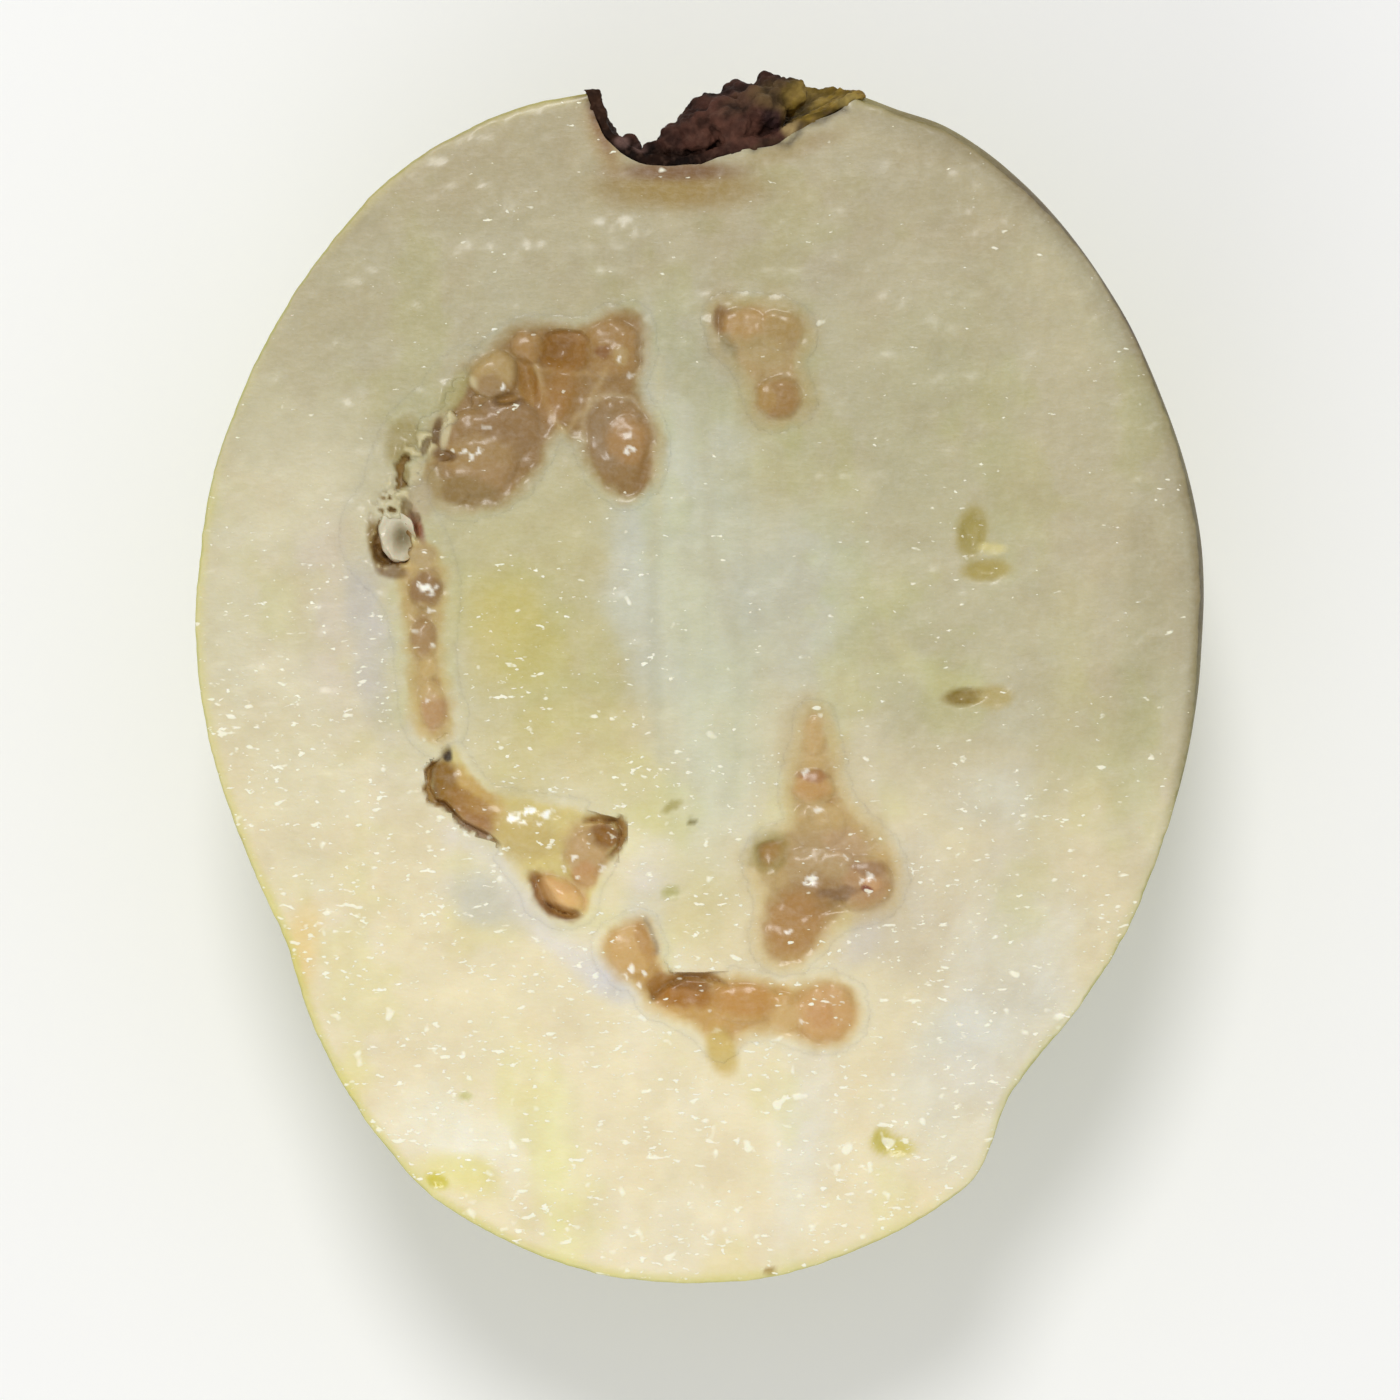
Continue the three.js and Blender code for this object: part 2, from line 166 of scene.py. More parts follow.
def from_pixels(px, py):
    return (px - ORIGIN_PIXEL[0]) * PIXEL_MM, (ORIGIN_PIXEL[1] - py) * PIXEL_MM


def oval(px, py, place):
    """Distance from the middle of an oval, 1 at its edge: x, y, half width, half length, turn."""
    cx, cy, half_width, half_length, turn = place
    a = math.radians(turn)
    u = (px - cx) * math.cos(a) + (py - cy) * math.sin(a)
    v = (py - cy) * math.cos(a) - (px - cx) * math.sin(a)
    return np.hypot(u / half_width, v / half_length)


def soft_oval(px, py, place, outer, inner):
    """1 in an oval and 0 round it, fading between two multiples of its size."""
    return smoothstep(-oval(px, py, place), -outer, -inner)


def paint_ovals(tone, px, py, ovals, outer=1.35, inner=0.35):
    """Lays soft ovals on a tone: x, y, half width, half length, turn, colour, strength."""
    for *place, colour, strength in ovals:
        tone = blend(tone, srgb(*colour), strength * soft_oval(px, py, place, outer, inner))
    return tone


def smooth_closed(points, steps=6):
    """A closed outline through points, rounded by a Catmull-Rom curve."""
    p = np.array(points, float)
    out = []
    for i in range(len(p)):
        a, b, c, d = p[i - 1], p[i], p[(i + 1) % len(p)], p[(i + 2) % len(p)]
        for t in np.arange(steps) / steps:
            out.append(0.5 * (2 * b + (c - a) * t + (2 * a - 5 * b + 4 * c - d) * t * t
                              + (3 * b - a - 3 * c + d) * t ** 3))
    return np.array(out)


def segment_distances(px, py, a, b):
    """Distance to a segment, where along it, from 0 to 1, and the side, positive on its left."""
    d = b - a
    t = np.clip(((px - a[0]) * d[0] + (py - a[1]) * d[1]) / (d @ d), 0, 1)
    dx, dy = px - a[0] - t * d[0], py - a[1] - t * d[1]
    return np.hypot(dx, dy), t, d[0] * dy - d[1] * dx


def line_distance(px, py, points):
    """Distance to the nearest of a row of segments."""
    p = np.array(points, float)
    return np.min([segment_distances(px, py, a, b)[0] for a, b in zip(p[:-1], p[1:])], axis=0)


def inside_distance(px, py, outline):
    """Distance in pixels from a closed outline, positive inside."""
    inside = np.zeros(px.shape, bool)
    for a, b in zip(np.roll(outline, 1, axis=0), outline):
        if a[1] != b[1]:
            crosses = (a[1] > py) != (b[1] > py)
            inside ^= crosses & (px < (b[0] - a[0]) * (py - a[1]) / (b[1] - a[1]) + a[0])
    distance = line_distance(px, py, np.vstack([outline[-1:], outline]))
    return np.where(inside, distance, -distance)


def crevice(px, py, wall, width, depth):
    """Depth of a crevice that is deepest along its wall and rises away from it, in mm. The wall is a
    line of pixels with the crevice on its left."""
    wall = np.array(wall, float)
    lengths = np.hypot(*np.diff(wall, axis=0).T)
    along = np.concatenate([[0], np.cumsum(lengths)]) / lengths.sum()
    best = np.full(px.shape, np.inf)
    place_along = np.zeros(px.shape)
    side = np.zeros(px.shape)
    for i in range(len(wall) - 1):
        distance, t, left = segment_distances(px, py, wall[i], wall[i + 1])
        nearer = distance < best
        best = np.where(nearer, distance, best)
        place_along = np.where(nearer, along[i] + t * (along[i + 1] - along[i]), place_along)
        side = np.where(nearer, left, side)
    taper = np.sqrt(np.clip(1 - (2 * place_along - 1) ** 4, 0, 1))
    near = np.clip(1 - best / (width * np.maximum(taper, 0.15)), 0, 1) * taper
    near = np.where(side >= 0, near, near * (1 - smoothstep(best, 0, 4)))
    return depth * near ** 1.3


# The seed pockets. Outlines, walls and ovals are in pixels of the photograph, heights in mm. Domes and
# dips are x, y, half width, half length, turn, height or depth. Tones are x, y, half width, half
# length, turn, colour, strength; the dark golds on dips and gaps are partly the pulp's colour, partly
# painted shade. Lines are points, half width, colour, strength; the dark ones along crevice walls are
# partly painted shade. Sparks are painted highlights of wet spots: x, y, half width, half length,
# strength. A patch is the area that a piece covers.
TAN = (158, 128, 84)
WARM_TAN = (180, 146, 98)
MAUVE = (154, 124, 88)
PALE_TAN = (190, 168, 128)
# Gaps and dips take these golds: partly the pulp's colour, partly painted shade
GOLD = (130, 91, 20)
DARK_GOLD = (108, 72, 12)
GAP_WALL = (168, 122, 54)
AMBER = (209, 169, 122)
OLIVE = (146, 130, 66)

POCKETS = {
    "upper_left": dict(
        node="seeds_upper_left", soft=12, tone=TAN, shade=(0.89, 0.85, 0.76), level=-0.12,
        outline=[(640, 314), (616, 314), (596, 320), (585, 328), (555, 326), (525, 327), (507, 336),
            (490, 350), (468, 369), (462, 388), (447, 415), (434, 425), (431, 440), (433, 455), (420, 470),
            (424, 490), (438, 502), (458, 509), (481, 509), (507, 498), (525, 481), (541, 463), (549, 440),
            (560, 430), (572, 436), (584, 440), (587, 457), (598, 479), (618, 497), (635, 498), (652, 481),
            (659, 450), (657, 428), (645, 405), (637, 385), (645, 361), (646, 345)],
        domes=[(492, 374, 27, 25, 0, 0.75), (528, 347, 18, 16, 30, 0.45), (612, 350, 30, 30, 0, 0.4),
            (602, 352, 9, 9, 0, 0.3), (621, 356, 9, 10, 0, 0.35), (478, 452, 42, 44, 0, 0.5),
            (505, 425, 34, 34, 0, 0.3), (622, 445, 34, 48, -12, 0.35), (628, 441, 22, 26, -15, 0.5),
            (450, 480, 24, 26, 0, 0.3), (478, 455, 16, 14, 0, 0.35)],
        dips=[(563, 352, 25, 16, 0, 2.6), (527, 381, 9, 22, -15, 1.9), (507, 399, 12, 5, -10, 1.5),
            (445, 456, 10, 5, 10, 1.1), (556, 396, 18, 28, 18, 0.9), (641, 350, 6, 16, 0, 0.8),
            (645, 462, 7, 26, 12, 0.5)],
        crevices=[dict(wall=[(545, 336), (560, 331), (580, 333), (590, 342)], width=22, depth=0.5)],
        tones=[(563, 352, 30, 20, 0, GOLD, 1), (566, 350, 20, 12, 0, DARK_GOLD, 0.7),
            (527, 381, 13, 28, -15, GOLD, 0.9), (507, 399, 14, 7, -10, DARK_GOLD, 0.9),
            (556, 395, 24, 34, 15, (156, 120, 62), 0.9), (492, 372, 25, 23, 0, PALE_TAN, 0.9),
            (490, 384, 14, 10, 0, MAUVE, 0.6), (528, 347, 18, 16, 30, WARM_TAN, 0.8),
            (610, 345, 34, 32, 0, WARM_TAN, 0.6), (602, 352, 7, 7, 0, (140, 96, 50), 0.8),
            (621, 356, 9, 10, 0, PALE_TAN, 0.7), (510, 430, 36, 44, 20, MAUVE, 0.8),
            (478, 455, 40, 20, 0, (186, 160, 118), 0.5), (485, 476, 26, 18, 0, (176, 148, 116), 0.7),
            (465, 492, 40, 16, 10, (150, 128, 82), 0.7), (445, 456, 13, 7, 10, (126, 92, 40), 0.9),
            (606, 436, 22, 34, -10, (158, 134, 108), 0.9), (628, 440, 22, 26, -15, (186, 148, 104), 0.7),
            (645, 470, 9, 26, 14, (150, 116, 62), 0.8), (430, 484, 14, 18, 0, (174, 158, 124), 0.8)],
        lines=[([(536, 368), (546, 402), (562, 431)], 2.5, (206, 180, 124), 0.6),
            ([(606, 372), (588, 404), (566, 431)], 2.5, (200, 172, 116), 0.5),
            ([(536, 368), (570, 372), (604, 374)], 2.5, (186, 152, 92), 0.5),
            ([(584, 440), (584, 415), (594, 400), (610, 394), (630, 398), (648, 414), (656, 440), (652,
                475)], 2.5, (196, 174, 130), 0.6),
            ([(468, 375), (466, 392), (476, 404), (494, 406)], 3, (132, 98, 52), 0.7),
            ([(498, 399), (518, 401)], 3.5, (98, 66, 28), 0.8),
            ([(592, 488), (612, 498), (634, 500)], 3, (206, 194, 148), 0.6),
            ([(440, 500), (460, 511), (482, 512)], 3, (204, 192, 150), 0.5)],
        sparks=[(503, 388, 5, 4, 0.9), (464, 451, 5, 4, 0.8), (472, 456, 5, 4, 0.8), (480, 453, 4, 4, 0.8),
            (630, 450, 4, 4, 0.8), (628, 434, 4, 6, 0.35), (619, 359, 4, 5, 0.7), (631, 375, 4, 4, 0.5),
            (488, 427, 4, 4, 0.4), (603, 301, 4, 4, 0.7)]),
    "left": dict(
        node="seeds_left", soft=9, tone=(188, 164, 118), level=-0.08,
        outline=[(404, 548), (424, 540), (440, 556), (445, 590), (441, 630), (443, 675), (452, 715),
            (448, 738), (430, 742), (414, 720), (410, 670), (404, 620), (398, 580)],
        patch=[(356, 510), (372, 486), (382, 452), (398, 420), (426, 394), (444, 370), (464, 356),
            (484, 366), (482, 388), (466, 412), (452, 436), (436, 456), (430, 478), (424, 500), (428, 522),
            (440, 545), (450, 590), (446, 640), (448, 680), (458, 715), (450, 740), (430, 745), (412, 722),
            (406, 670), (398, 620), (384, 590), (358, 564), (350, 535)],
        domes=[(425, 588, 17, 20, 0, 0.4), (424, 640, 14, 20, 0, 0.4), (432, 704, 14, 24, -8, 0.4),
            (428, 668, 10, 12, 0, 0.25), (424, 562, 12, 12, 0, 0.2)],
        dips=[(424, 614, 10, 6, 0, 0.6), (437, 682, 8, 6, 0, 0.5)],
        tones=[(425, 588, 17, 19, 0, (140, 108, 72), 0.9), (424, 636, 13, 22, 0, (156, 124, 88), 0.8),
            (434, 712, 13, 18, 0, (176, 138, 104), 0.8), (430, 690, 12, 12, 0, (190, 164, 124), 0.5),
            (422, 556, 14, 14, 0, (176, 156, 122), 0.8)],
        sparks=[(423, 588, 7, 5, 0.95), (430, 592, 5, 4, 0.8), (436, 588, 4, 3, 0.7), (416, 584, 3, 3, 0.7),
            (430, 611, 6, 3, 0.6), (413, 632, 5, 5, 0.5), (432, 645, 4, 3, 0.6), (424, 700, 3, 3, 0.5)]),
    "lower_left": dict(
        node="seeds_lower_left", soft=6, tone=(204, 190, 136), level=-0.1,
        outline=[(446, 748), (456, 752), (470, 775), (486, 792), (515, 800), (550, 806), (585, 812),
            (607, 820), (622, 822), (622, 842), (612, 856), (600, 872), (592, 892), (585, 912), (570, 919),
            (548, 915), (535, 902), (530, 884), (518, 874), (508, 860), (500, 843), (483, 832), (462, 822),
            (444, 803), (433, 800), (428, 784), (431, 768), (440, 756)],
        domes=[(560, 895, 27, 15, 32, 1.0), (588, 858, 24, 26, 0, 0.5), (540, 832, 40, 20, 12, 0.2)],
        dips=[(543, 893, 8, 22, -32, 2.4), (566, 913, 20, 6, 20, 1.6), (604, 838, 16, 10, 20, 1.6)],
        crevices=[
            dict(wall=[(442, 750), (430, 768), (428, 786), (434, 800), (444, 803), (462, 822), (486, 834),
                (502, 846)], width=40, depth=1.1),
            dict(wall=[(606, 858), (618, 848), (622, 832), (616, 821), (600, 820), (582, 822)], width=20,
                depth=0.9)],
        tones=[(470, 800, 40, 26, 40, (186, 150, 86), 0.8), (452, 800, 22, 14, 50, GOLD, 0.9),
            (444, 782, 14, 26, -8, (136, 99, 14), 1), (472, 808, 28, 12, 35, (158, 116, 50), 0.8),
            (480, 826, 22, 10, 35, (150, 106, 46), 0.9), (525, 838, 36, 22, 10, (190, 170, 116), 0.7),
            (588, 850, 26, 30, 0, (182, 150, 112), 0.9), (608, 836, 16, 13, 20, (140, 100, 54), 0.9),
            (545, 895, 14, 26, -32, (150, 108, 44), 1), (565, 913, 22, 8, 20, (132, 88, 34), 0.9),
            (562, 893, 27, 15, 32, AMBER, 1), (572, 900, 16, 8, 32, (222, 184, 130), 0.6),
            (586, 876, 14, 16, 0, (186, 140, 96), 0.7), (449, 757, 5, 6, 0, (60, 44, 16), 1)],
        lines=[([(447, 746), (432, 766), (430, 784), (436, 802)], 2.5, (84, 56, 22), 0.8),
            ([(444, 805), (460, 824), (486, 838)], 2.5, (104, 72, 30), 0.7),
            ([(608, 822), (621, 824), (621, 842), (613, 856)], 3, (92, 60, 30), 0.8),
            ([(535, 882), (532, 900), (545, 914), (568, 920)], 3, (112, 74, 30), 0.8)],
        sparks=[(514, 817, 6, 5, 1), (529, 811, 5, 4, 1), (547, 815, 7, 6, 1), (538, 824, 5, 3, 0.8),
            (524, 824, 6, 3, 0.8), (509, 821, 4, 4, 0.8), (562, 868, 4, 3, 0.8), (580, 878, 3, 3, 0.7),
            (575, 857, 6, 3, 0.7), (602, 869, 5, 3, 0.6)]),
    "bottom": dict(
        node="seeds_bottom", soft=11, tone=(190, 154, 98), level=-0.1,
        outline=[(603, 938), (625, 924), (646, 921), (655, 938), (660, 962), (672, 978), (700, 976),
            (740, 978), (775, 984), (800, 986), (828, 980), (852, 990), (860, 1012), (850, 1036),
            (828, 1046), (798, 1040), (775, 1030), (745, 1034), (720, 1050), (700, 1030), (675, 1018),
            (652, 1006), (640, 988), (618, 976), (604, 958)],
        domes=[(630, 952, 26, 26, 20, 0.4), (826, 1013, 30, 30, 0, 0.38), (745, 1003, 36, 20, 0, 0.35),
            (785, 1012, 20, 20, 0, 0.3), (820, 1016, 12, 12, 0, 0.3)],
        dips=[(655, 990, 12, 9, 20, 0.6)],
        crevices=[
            dict(wall=[(728, 984), (706, 978), (686, 977), (668, 984), (652, 997)], width=27, depth=0.8)],
        tones=[(630, 948, 26, 26, 20, (200, 166, 116), 0.8), (645, 940, 8, 22, -20, (166, 120, 66), 0.5),
            (682, 992, 36, 15, 8, (160, 110, 32), 1), (686, 982, 30, 8, 4, (120, 80, 22), 0.6),
            (745, 1000, 30, 18, 0, (186, 138, 74), 0.8), (722, 1044, 12, 18, 0, OLIVE, 0.3),
            (826, 1013, 29, 29, 0, (202, 163, 118), 0.9), (822, 1015, 14, 12, 0, (192, 146, 98), 0.7),
            (785, 1020, 16, 16, 0, (206, 178, 134), 0.6)],
        lines=[([(646, 919), (654, 938), (657, 952)], 2.2, (96, 62, 26), 0.8),
            ([(652, 998), (664, 986), (684, 977)], 2.2, (88, 56, 20), 0.7)],
        sparks=[(632, 968, 5, 4, 0.8), (644, 972, 5, 3, 0.8), (626, 976, 4, 3, 0.7), (640, 984, 3, 4, 0.6),
            (716, 1031, 4, 3, 0.5), (800, 1022, 4, 3, 0.5)]),
    "lower_right": dict(
        node="seeds_lower_right", soft=26, tone=(188, 162, 118), level=-0.08,
        outline=[(806, 712), (824, 716), (832, 745), (838, 772), (846, 800), (862, 820), (886, 842),
            (898, 870), (893, 900), (868, 914), (842, 920), (822, 938), (800, 964), (776, 966), (762, 946),
            (762, 915), (762, 888), (752, 866), (757, 846), (778, 834), (793, 822), (788, 796), (792, 768),
            (802, 742)],
        domes=[(813, 787, 22, 18, 10, 0.35), (864, 884, 30, 28, 0, 0.6), (872, 887, 10, 9, 0, 0.4),
            (812, 880, 36, 34, 0, 0.35), (818, 825, 28, 24, 0, 0.3), (792, 930, 26, 30, 30, 0.15),
            (815, 735, 12, 20, 0, 0.25), (838, 868, 18, 18, 0, 0.3)],
        dips=[(768, 851, 18, 17, 0, 0.9), (828, 800, 12, 6, 0, 0.5), (835, 905, 22, 6, -10, 0.5)],
        tones=[(813, 735, 12, 20, 0, (196, 166, 120), 0.7), (812, 787, 19, 14, 10, (192, 150, 98), 0.8),
            (812, 776, 18, 6, 0, (150, 96, 56), 0.6), (767, 850, 25, 23, 0, (150, 134, 72), 0.9),
            (822, 862, 44, 34, 0, (176, 150, 116), 0.8), (866, 884, 26, 24, 0, (176, 138, 104), 0.8),
            (812, 898, 34, 22, -20, (152, 118, 74), 0.8), (868, 868, 22, 7, 10, (140, 104, 70), 0.6),
            (872, 882, 10, 8, 0, (200, 158, 122), 0.7), (866, 888, 5, 5, 0, (126, 60, 40), 0.9),
            (838, 893, 24, 7, -8, (116, 84, 56), 0.6), (794, 926, 32, 36, 35, (170, 128, 74), 0.85),
            (845, 845, 24, 16, 20, (190, 160, 134), 0.6)],
        sparks=[(812, 879, 6, 5, 0.9), (806, 884, 4, 4, 0.7), (870, 876, 5, 5, 0.7), (860, 880, 3, 4, 0.6),
            (790, 931, 4, 3, 0.7), (818, 810, 6, 4, 0.6), (806, 772, 4, 3, 0.7), (848, 858, 3, 3, 0.5)]),
    "upper_right": dict(
        node="seeds_upper_right", soft=24, tone=(172, 148, 108), level=-0.05,
        outline=[(713, 309), (740, 303), (775, 305), (800, 316), (806, 338), (796, 362), (803, 384),
            (806, 402), (795, 418), (775, 421), (757, 412), (752, 392), (744, 372), (730, 356), (716, 340)],
        domes=[(742, 328, 26, 20, 0, 0.25), (780, 330, 24, 20, 0, 0.25), (779, 398, 24, 21, 0, 0.4)],
        dips=[(718, 322, 6, 14, 0, 0.8)],
        tones=[(722, 318, 12, 14, 0, (140, 104, 58), 0.9), (748, 324, 26, 15, 0, (180, 146, 96), 0.8),
            (782, 326, 20, 14, 0, (168, 142, 92), 0.8), (762, 352, 28, 16, 10, (178, 158, 118), 0.8),
            (778, 398, 23, 20, 0, (158, 124, 74), 0.95), (766, 398, 8, 16, 0, (172, 140, 76), 0.6),
            (726, 345, 8, 14, -20, (140, 128, 96), 0.7)]),
}
POCKET_DEPTH = 3.2
PULP_BELOW = 1.2  # how far the pulp's pieces reach below the pockets' floor
FILM_ABOVE = 0.022
FILM_REACH = 12  # how far the film runs out past a pocket's outline, in pixels

# Small open pits and slits in the flesh: x, y, half width, half length, turn, depth, colour
PITS = [
    (972, 532, 14, 24, 8, 0.45, (172, 156, 82)), (986, 570, 22, 10, -5, 0.35, (180, 162, 86)),
    (992, 548, 13, 5, 5, 0.1, (216, 204, 140)), (966, 697, 21, 8, -4, 0.5, (152, 128, 50)),
    (995, 697, 16, 11, 0, 0.1, (186, 168, 106)), (672, 806, 10, 4, -30, 0.12, (176, 166, 100)),
    (692, 822, 3, 4, 0, 0.15, (134, 124, 68)), (671, 893, 9, 6, 0, 0.12, (184, 178, 116)),
    (893, 1146, 20, 9, 10, 0.25, (210, 196, 104)), (882, 1140, 9, 12, 0, 0.2, (200, 186, 92)),
    (465, 1096, 7, 4, 0, 0.2, (206, 200, 140)), (437, 1181, 11, 7, 20, 0.2, (208, 196, 70)),
    (770, 1272, 6, 4, 0, 0.2, (150, 110, 60)), (722, 1053, 13, 22, -20, 0.06, (206, 180, 104))]
CUT_SEED_HOLLOW = (392, 543, 19, 25, 8)
CUT_SEED_SLIT = (410, 517, 7, 24, -22)
TORN_STRIP = [(383, 560), (384, 520), (398, 490), (408, 460), (432, 436), (450, 410), (466, 385)]
CORE = (705, 560, 95, 330, 0)

# The flesh from the calyx end down: colour, and the rows between which it comes in. It runs from darker
# at the calyx end to lighter low down, partly the flesh's own colour, partly painted light from below
FLESH_TOP = (184, 172, 136)
FLESH_BANDS = [((190, 182, 146), 120, 420), ((203, 195, 160), 380, 640), ((226, 214, 176), 640, 880),
               ((229, 217, 180), 900, 1150)]
FLESH_AREAS = [
    (300, 620, 90, 260, 0, (213, 204, 170), 0.8), (1040, 520, 130, 260, 0, (192, 184, 147), 0.7),
    (930, 420, 90, 160, 10, (182, 176, 136), 0.5), (1085, 500, 50, 260, -8, (196, 184, 148), 0.6),
    (560, 640, 110, 150, 0, (196, 187, 132), 0.8), (515, 640, 52, 62, 0, (201, 187, 116), 0.85),
    (480, 560, 60, 60, 0, (192, 184, 136), 0.6), (690, 560, 70, 260, -4, (203, 204, 178), 0.8),
    (700, 700, 60, 160, 0, (208, 207, 174), 0.7), (800, 610, 60, 110, 0, (200, 200, 178), 0.75),
    (650, 560, 32, 150, 0, (205, 204, 184), 0.7), (690, 350, 44, 90, 0, (178, 171, 142), 0.7),
    (890, 640, 80, 90, 20, (190, 185, 142), 0.6), (920, 650, 50, 22, 25, (204, 198, 150), 0.7),
    (330, 620, 45, 130, 0, (204, 190, 168), 0.6), (380, 660, 24, 100, 0, (194, 187, 175), 0.8),
    (505, 890, 60, 40, 40, (200, 195, 188), 0.8), (590, 965, 50, 22, 35, (204, 199, 190), 0.8),
    (645, 900, 38, 70, 20, (216, 208, 194), 0.7), (900, 930, 66, 60, -20, (206, 194, 166), 0.7),
    (850, 950, 40, 22, -30, (212, 203, 188), 0.7), (990, 800, 60, 60, 30, (216, 212, 190), 0.6),
    (640, 800, 60, 30, 0, (206, 198, 132), 0.5), (560, 760, 80, 50, 0, (204, 192, 134), 0.6),
    (700, 900, 50, 60, 0, (212, 202, 146), 0.6), (540, 1150, 36, 130, -14, (232, 224, 170), 0.6),
    (1000, 980, 70, 130, 20, (220, 216, 196), 0.6), (440, 1120, 90, 60, 40, (236, 232, 210), 0.6),
    (800, 1150, 40, 120, 10, (226, 222, 204), 0.5), (1150, 700, 40, 160, 0, (184, 180, 140), 0.5),
    (300, 945, 26, 55, 10, (226, 200, 128), 0.7), (440, 1184, 46, 26, 30, (222, 212, 124), 0.7),
    (338, 1046, 22, 26, 30, (226, 216, 140), 0.6), (980, 1080, 80, 110, 30, (220, 218, 202), 0.6),
    (1175, 530, 60, 140, 0, (172, 158, 122), 0.4), (850, 250, 120, 80, 0, (190, 180, 148), 0.5),
    (770, 470, 60, 50, 0, (186, 180, 130), 0.6)]
CALYX_STAINS = [
    (680, 188, 96, 24, 0, (160, 133, 68), 0.9), (676, 171, 70, 11, 0, (122, 84, 40), 0.9),
    (604, 140, 16, 46, -20, (172, 146, 96), 0.8), (600, 128, 7, 36, -22, (136, 96, 52), 0.8),
    (790, 150, 60, 12, -18, (166, 142, 98), 0.6), (710, 225, 16, 12, 0, (160, 150, 88), 0.4)]
TORN_STAINS = [
    (402, 440, 16, 26, 20, (160, 144, 84), 0.8), (455, 392, 10, 26, 30, (176, 168, 104), 0.6),
    (437, 432, 5, 16, 10, (112, 82, 34), 0.9), (426, 446, 5, 12, 30, (124, 98, 46), 0.8),
    (446, 430, 5, 20, 10, (214, 202, 160), 0.8), (418, 470, 7, 12, 20, (206, 194, 150), 0.7),
    (405, 478, 5, 12, 10, (140, 122, 62), 0.8), (392, 500, 8, 10, 30, (206, 196, 156), 0.7),
    (376, 545, 8, 28, -10, (136, 108, 44), 0.95), (392, 571, 16, 8, 10, (120, 86, 38), 0.8),
    (415, 520, 6, 24, -20, (132, 76, 42), 0.95), (404, 500, 10, 18, 10, (188, 178, 134), 0.7),
    (420, 500, 14, 22, 0, (184, 168, 134), 0.7)]

# Thin lines in the flesh: points, half width, colour, strength
CALYX_LINE = ([(752, 149), (768, 141), (787, 144), (797, 134), (805, 122), (823, 119), (846, 108)],
              2.5, (62, 46, 28), 0.9)
FACE_LINES = [
    CALYX_LINE,
    ([(556, 96), (574, 94), (588, 98), (596, 116)], 3, (84, 58, 32), 0.9),
    ([(659, 360), (660, 430), (658, 500), (652, 560)], 4, (206, 196, 150), 0.5),
    ([(655, 520), (654, 620), (660, 760)], 4, (186, 184, 156), 0.5),
    ([(700, 300), (703, 420), (712, 560), (735, 640)], 5, (188, 182, 150), 0.5),
    ([(735, 600), (740, 700), (730, 800)], 5, (190, 188, 156), 0.4),
    ([(648, 290), (646, 340), (652, 400)], 5, (200, 194, 168), 0.5),
    ([(455, 835), (480, 850), (505, 868), (530, 920), (560, 945), (600, 975)], 9, (224, 218, 212), 0.6),
    ([(560, 1100), (552, 1150), (556, 1210), (566, 1260)], 8, (232, 228, 168), 0.5),
    ([(1075, 600), (1060, 760), (1020, 900)], 14, (204, 194, 140), 0.35)]
LINE_WIDTH = 1.5
LINE_STRENGTH = 0.75

# The dried calyx: black-brown low down, with a near-black band there as painted shadow, maroon lumps,
# olive skin at the right
CALYX_AREAS = [
    (600, 118, 22, 46, -24, (56, 34, 20), 1), (640, 156, 50, 16, 8, (30, 13, 4), 1),
    (700, 160, 76, 12, 0, (30, 13, 4), 1), (622, 142, 8, 7, 0, (128, 100, 92), 0.7),
    (642, 147, 9, 6, 0, (120, 92, 84), 0.7), (722, 128, 42, 26, -15, (84, 54, 43), 0.8),
    (778, 116, 18, 14, 0, (66, 44, 44), 0.9), (745, 98, 30, 14, -30, (84, 60, 44), 0.8),
    (776, 92, 26, 18, 0, (104, 84, 52), 0.8), (828, 102, 44, 40, 8, (148, 122, 48), 1),
    (806, 90, 22, 14, 8, (138, 116, 58), 0.9), (795, 130, 14, 12, 0, (160, 138, 92), 0.9),
    (850, 104, 16, 12, 20, (150, 132, 76), 0.8)]
# Painted shade: the calyx's depths are darkened in its colour over these columns
DEEP_CALYX = (790, 830)  # the columns over which its depths turn dark, from full to none

# More colours
# Painted highlight colour of the pockets' sparks
SPARK = (255, 253, 240)
EDGE_YELLOW = (212, 204, 118)
EDGE_GREEN = (176, 178, 118)
SHADED_EDGE_BROWN = (142, 126, 88)
LINING_BROWN = (92, 62, 34)
TORN_FLOOR = (150, 118, 58)
TORN_FLAP = (212, 200, 156)
HOLLOW_WALL = (134, 98, 46)
CALYX_BROWN = (80, 50, 40)
SEED_FACE = (214, 205, 178)
SEED_HOLLOW = (150, 138, 106)
SEED_SIDE = (186, 164, 112)
PULP_WARMTH = (1.03, 0.99, 0.76)
# Rows between which the flesh turns paler, lighter by painted light, and gets more painted glints, from the
# calyx end down
PALE_ROWS = (350, 950)
PAINTED_LIGHT_ROWS = (520, 1180)
GLINT_ROWS = (430, 950)


# The pockets

def covered_outline(pocket):
    """Outline of what a pocket's piece covers, wider than its pulp where the flesh is torn."""
    return pocket.get("patch", pocket["outline"])


def close_to(px, py, pocket, margin=50):
    """Which points lie in or near a pocket."""
    low, high = np.min(covered_outline(pocket), axis=0), np.max(covered_outline(pocket), axis=0)
    return ((px > low[0] - margin) & (px < high[0] + margin)
            & (py > low[1] - margin) & (py < high[1] + margin))


def pocket_edges(px, py, pocket):
    """Distance inside a pocket's outline in pixels, with its edge made uneven."""
    waves = [2.2 * flat_noise(px, py, 11, seed) + 1.2 * flat_noise(px, py, 5, seed + 1) for seed in (31, 33)]
    return inside_distance(px + waves[0], py + waves[1], smooth_closed(pocket["outline"], 3))


def patch_edges(px, py, pocket):
    """Distance inside the area that a pocket's piece covers, in pixels."""
    if "patch" not in pocket:
        return pocket_edges(px, py, pocket)
    return inside_distance(px, py, smooth_closed(pocket["patch"], 3))


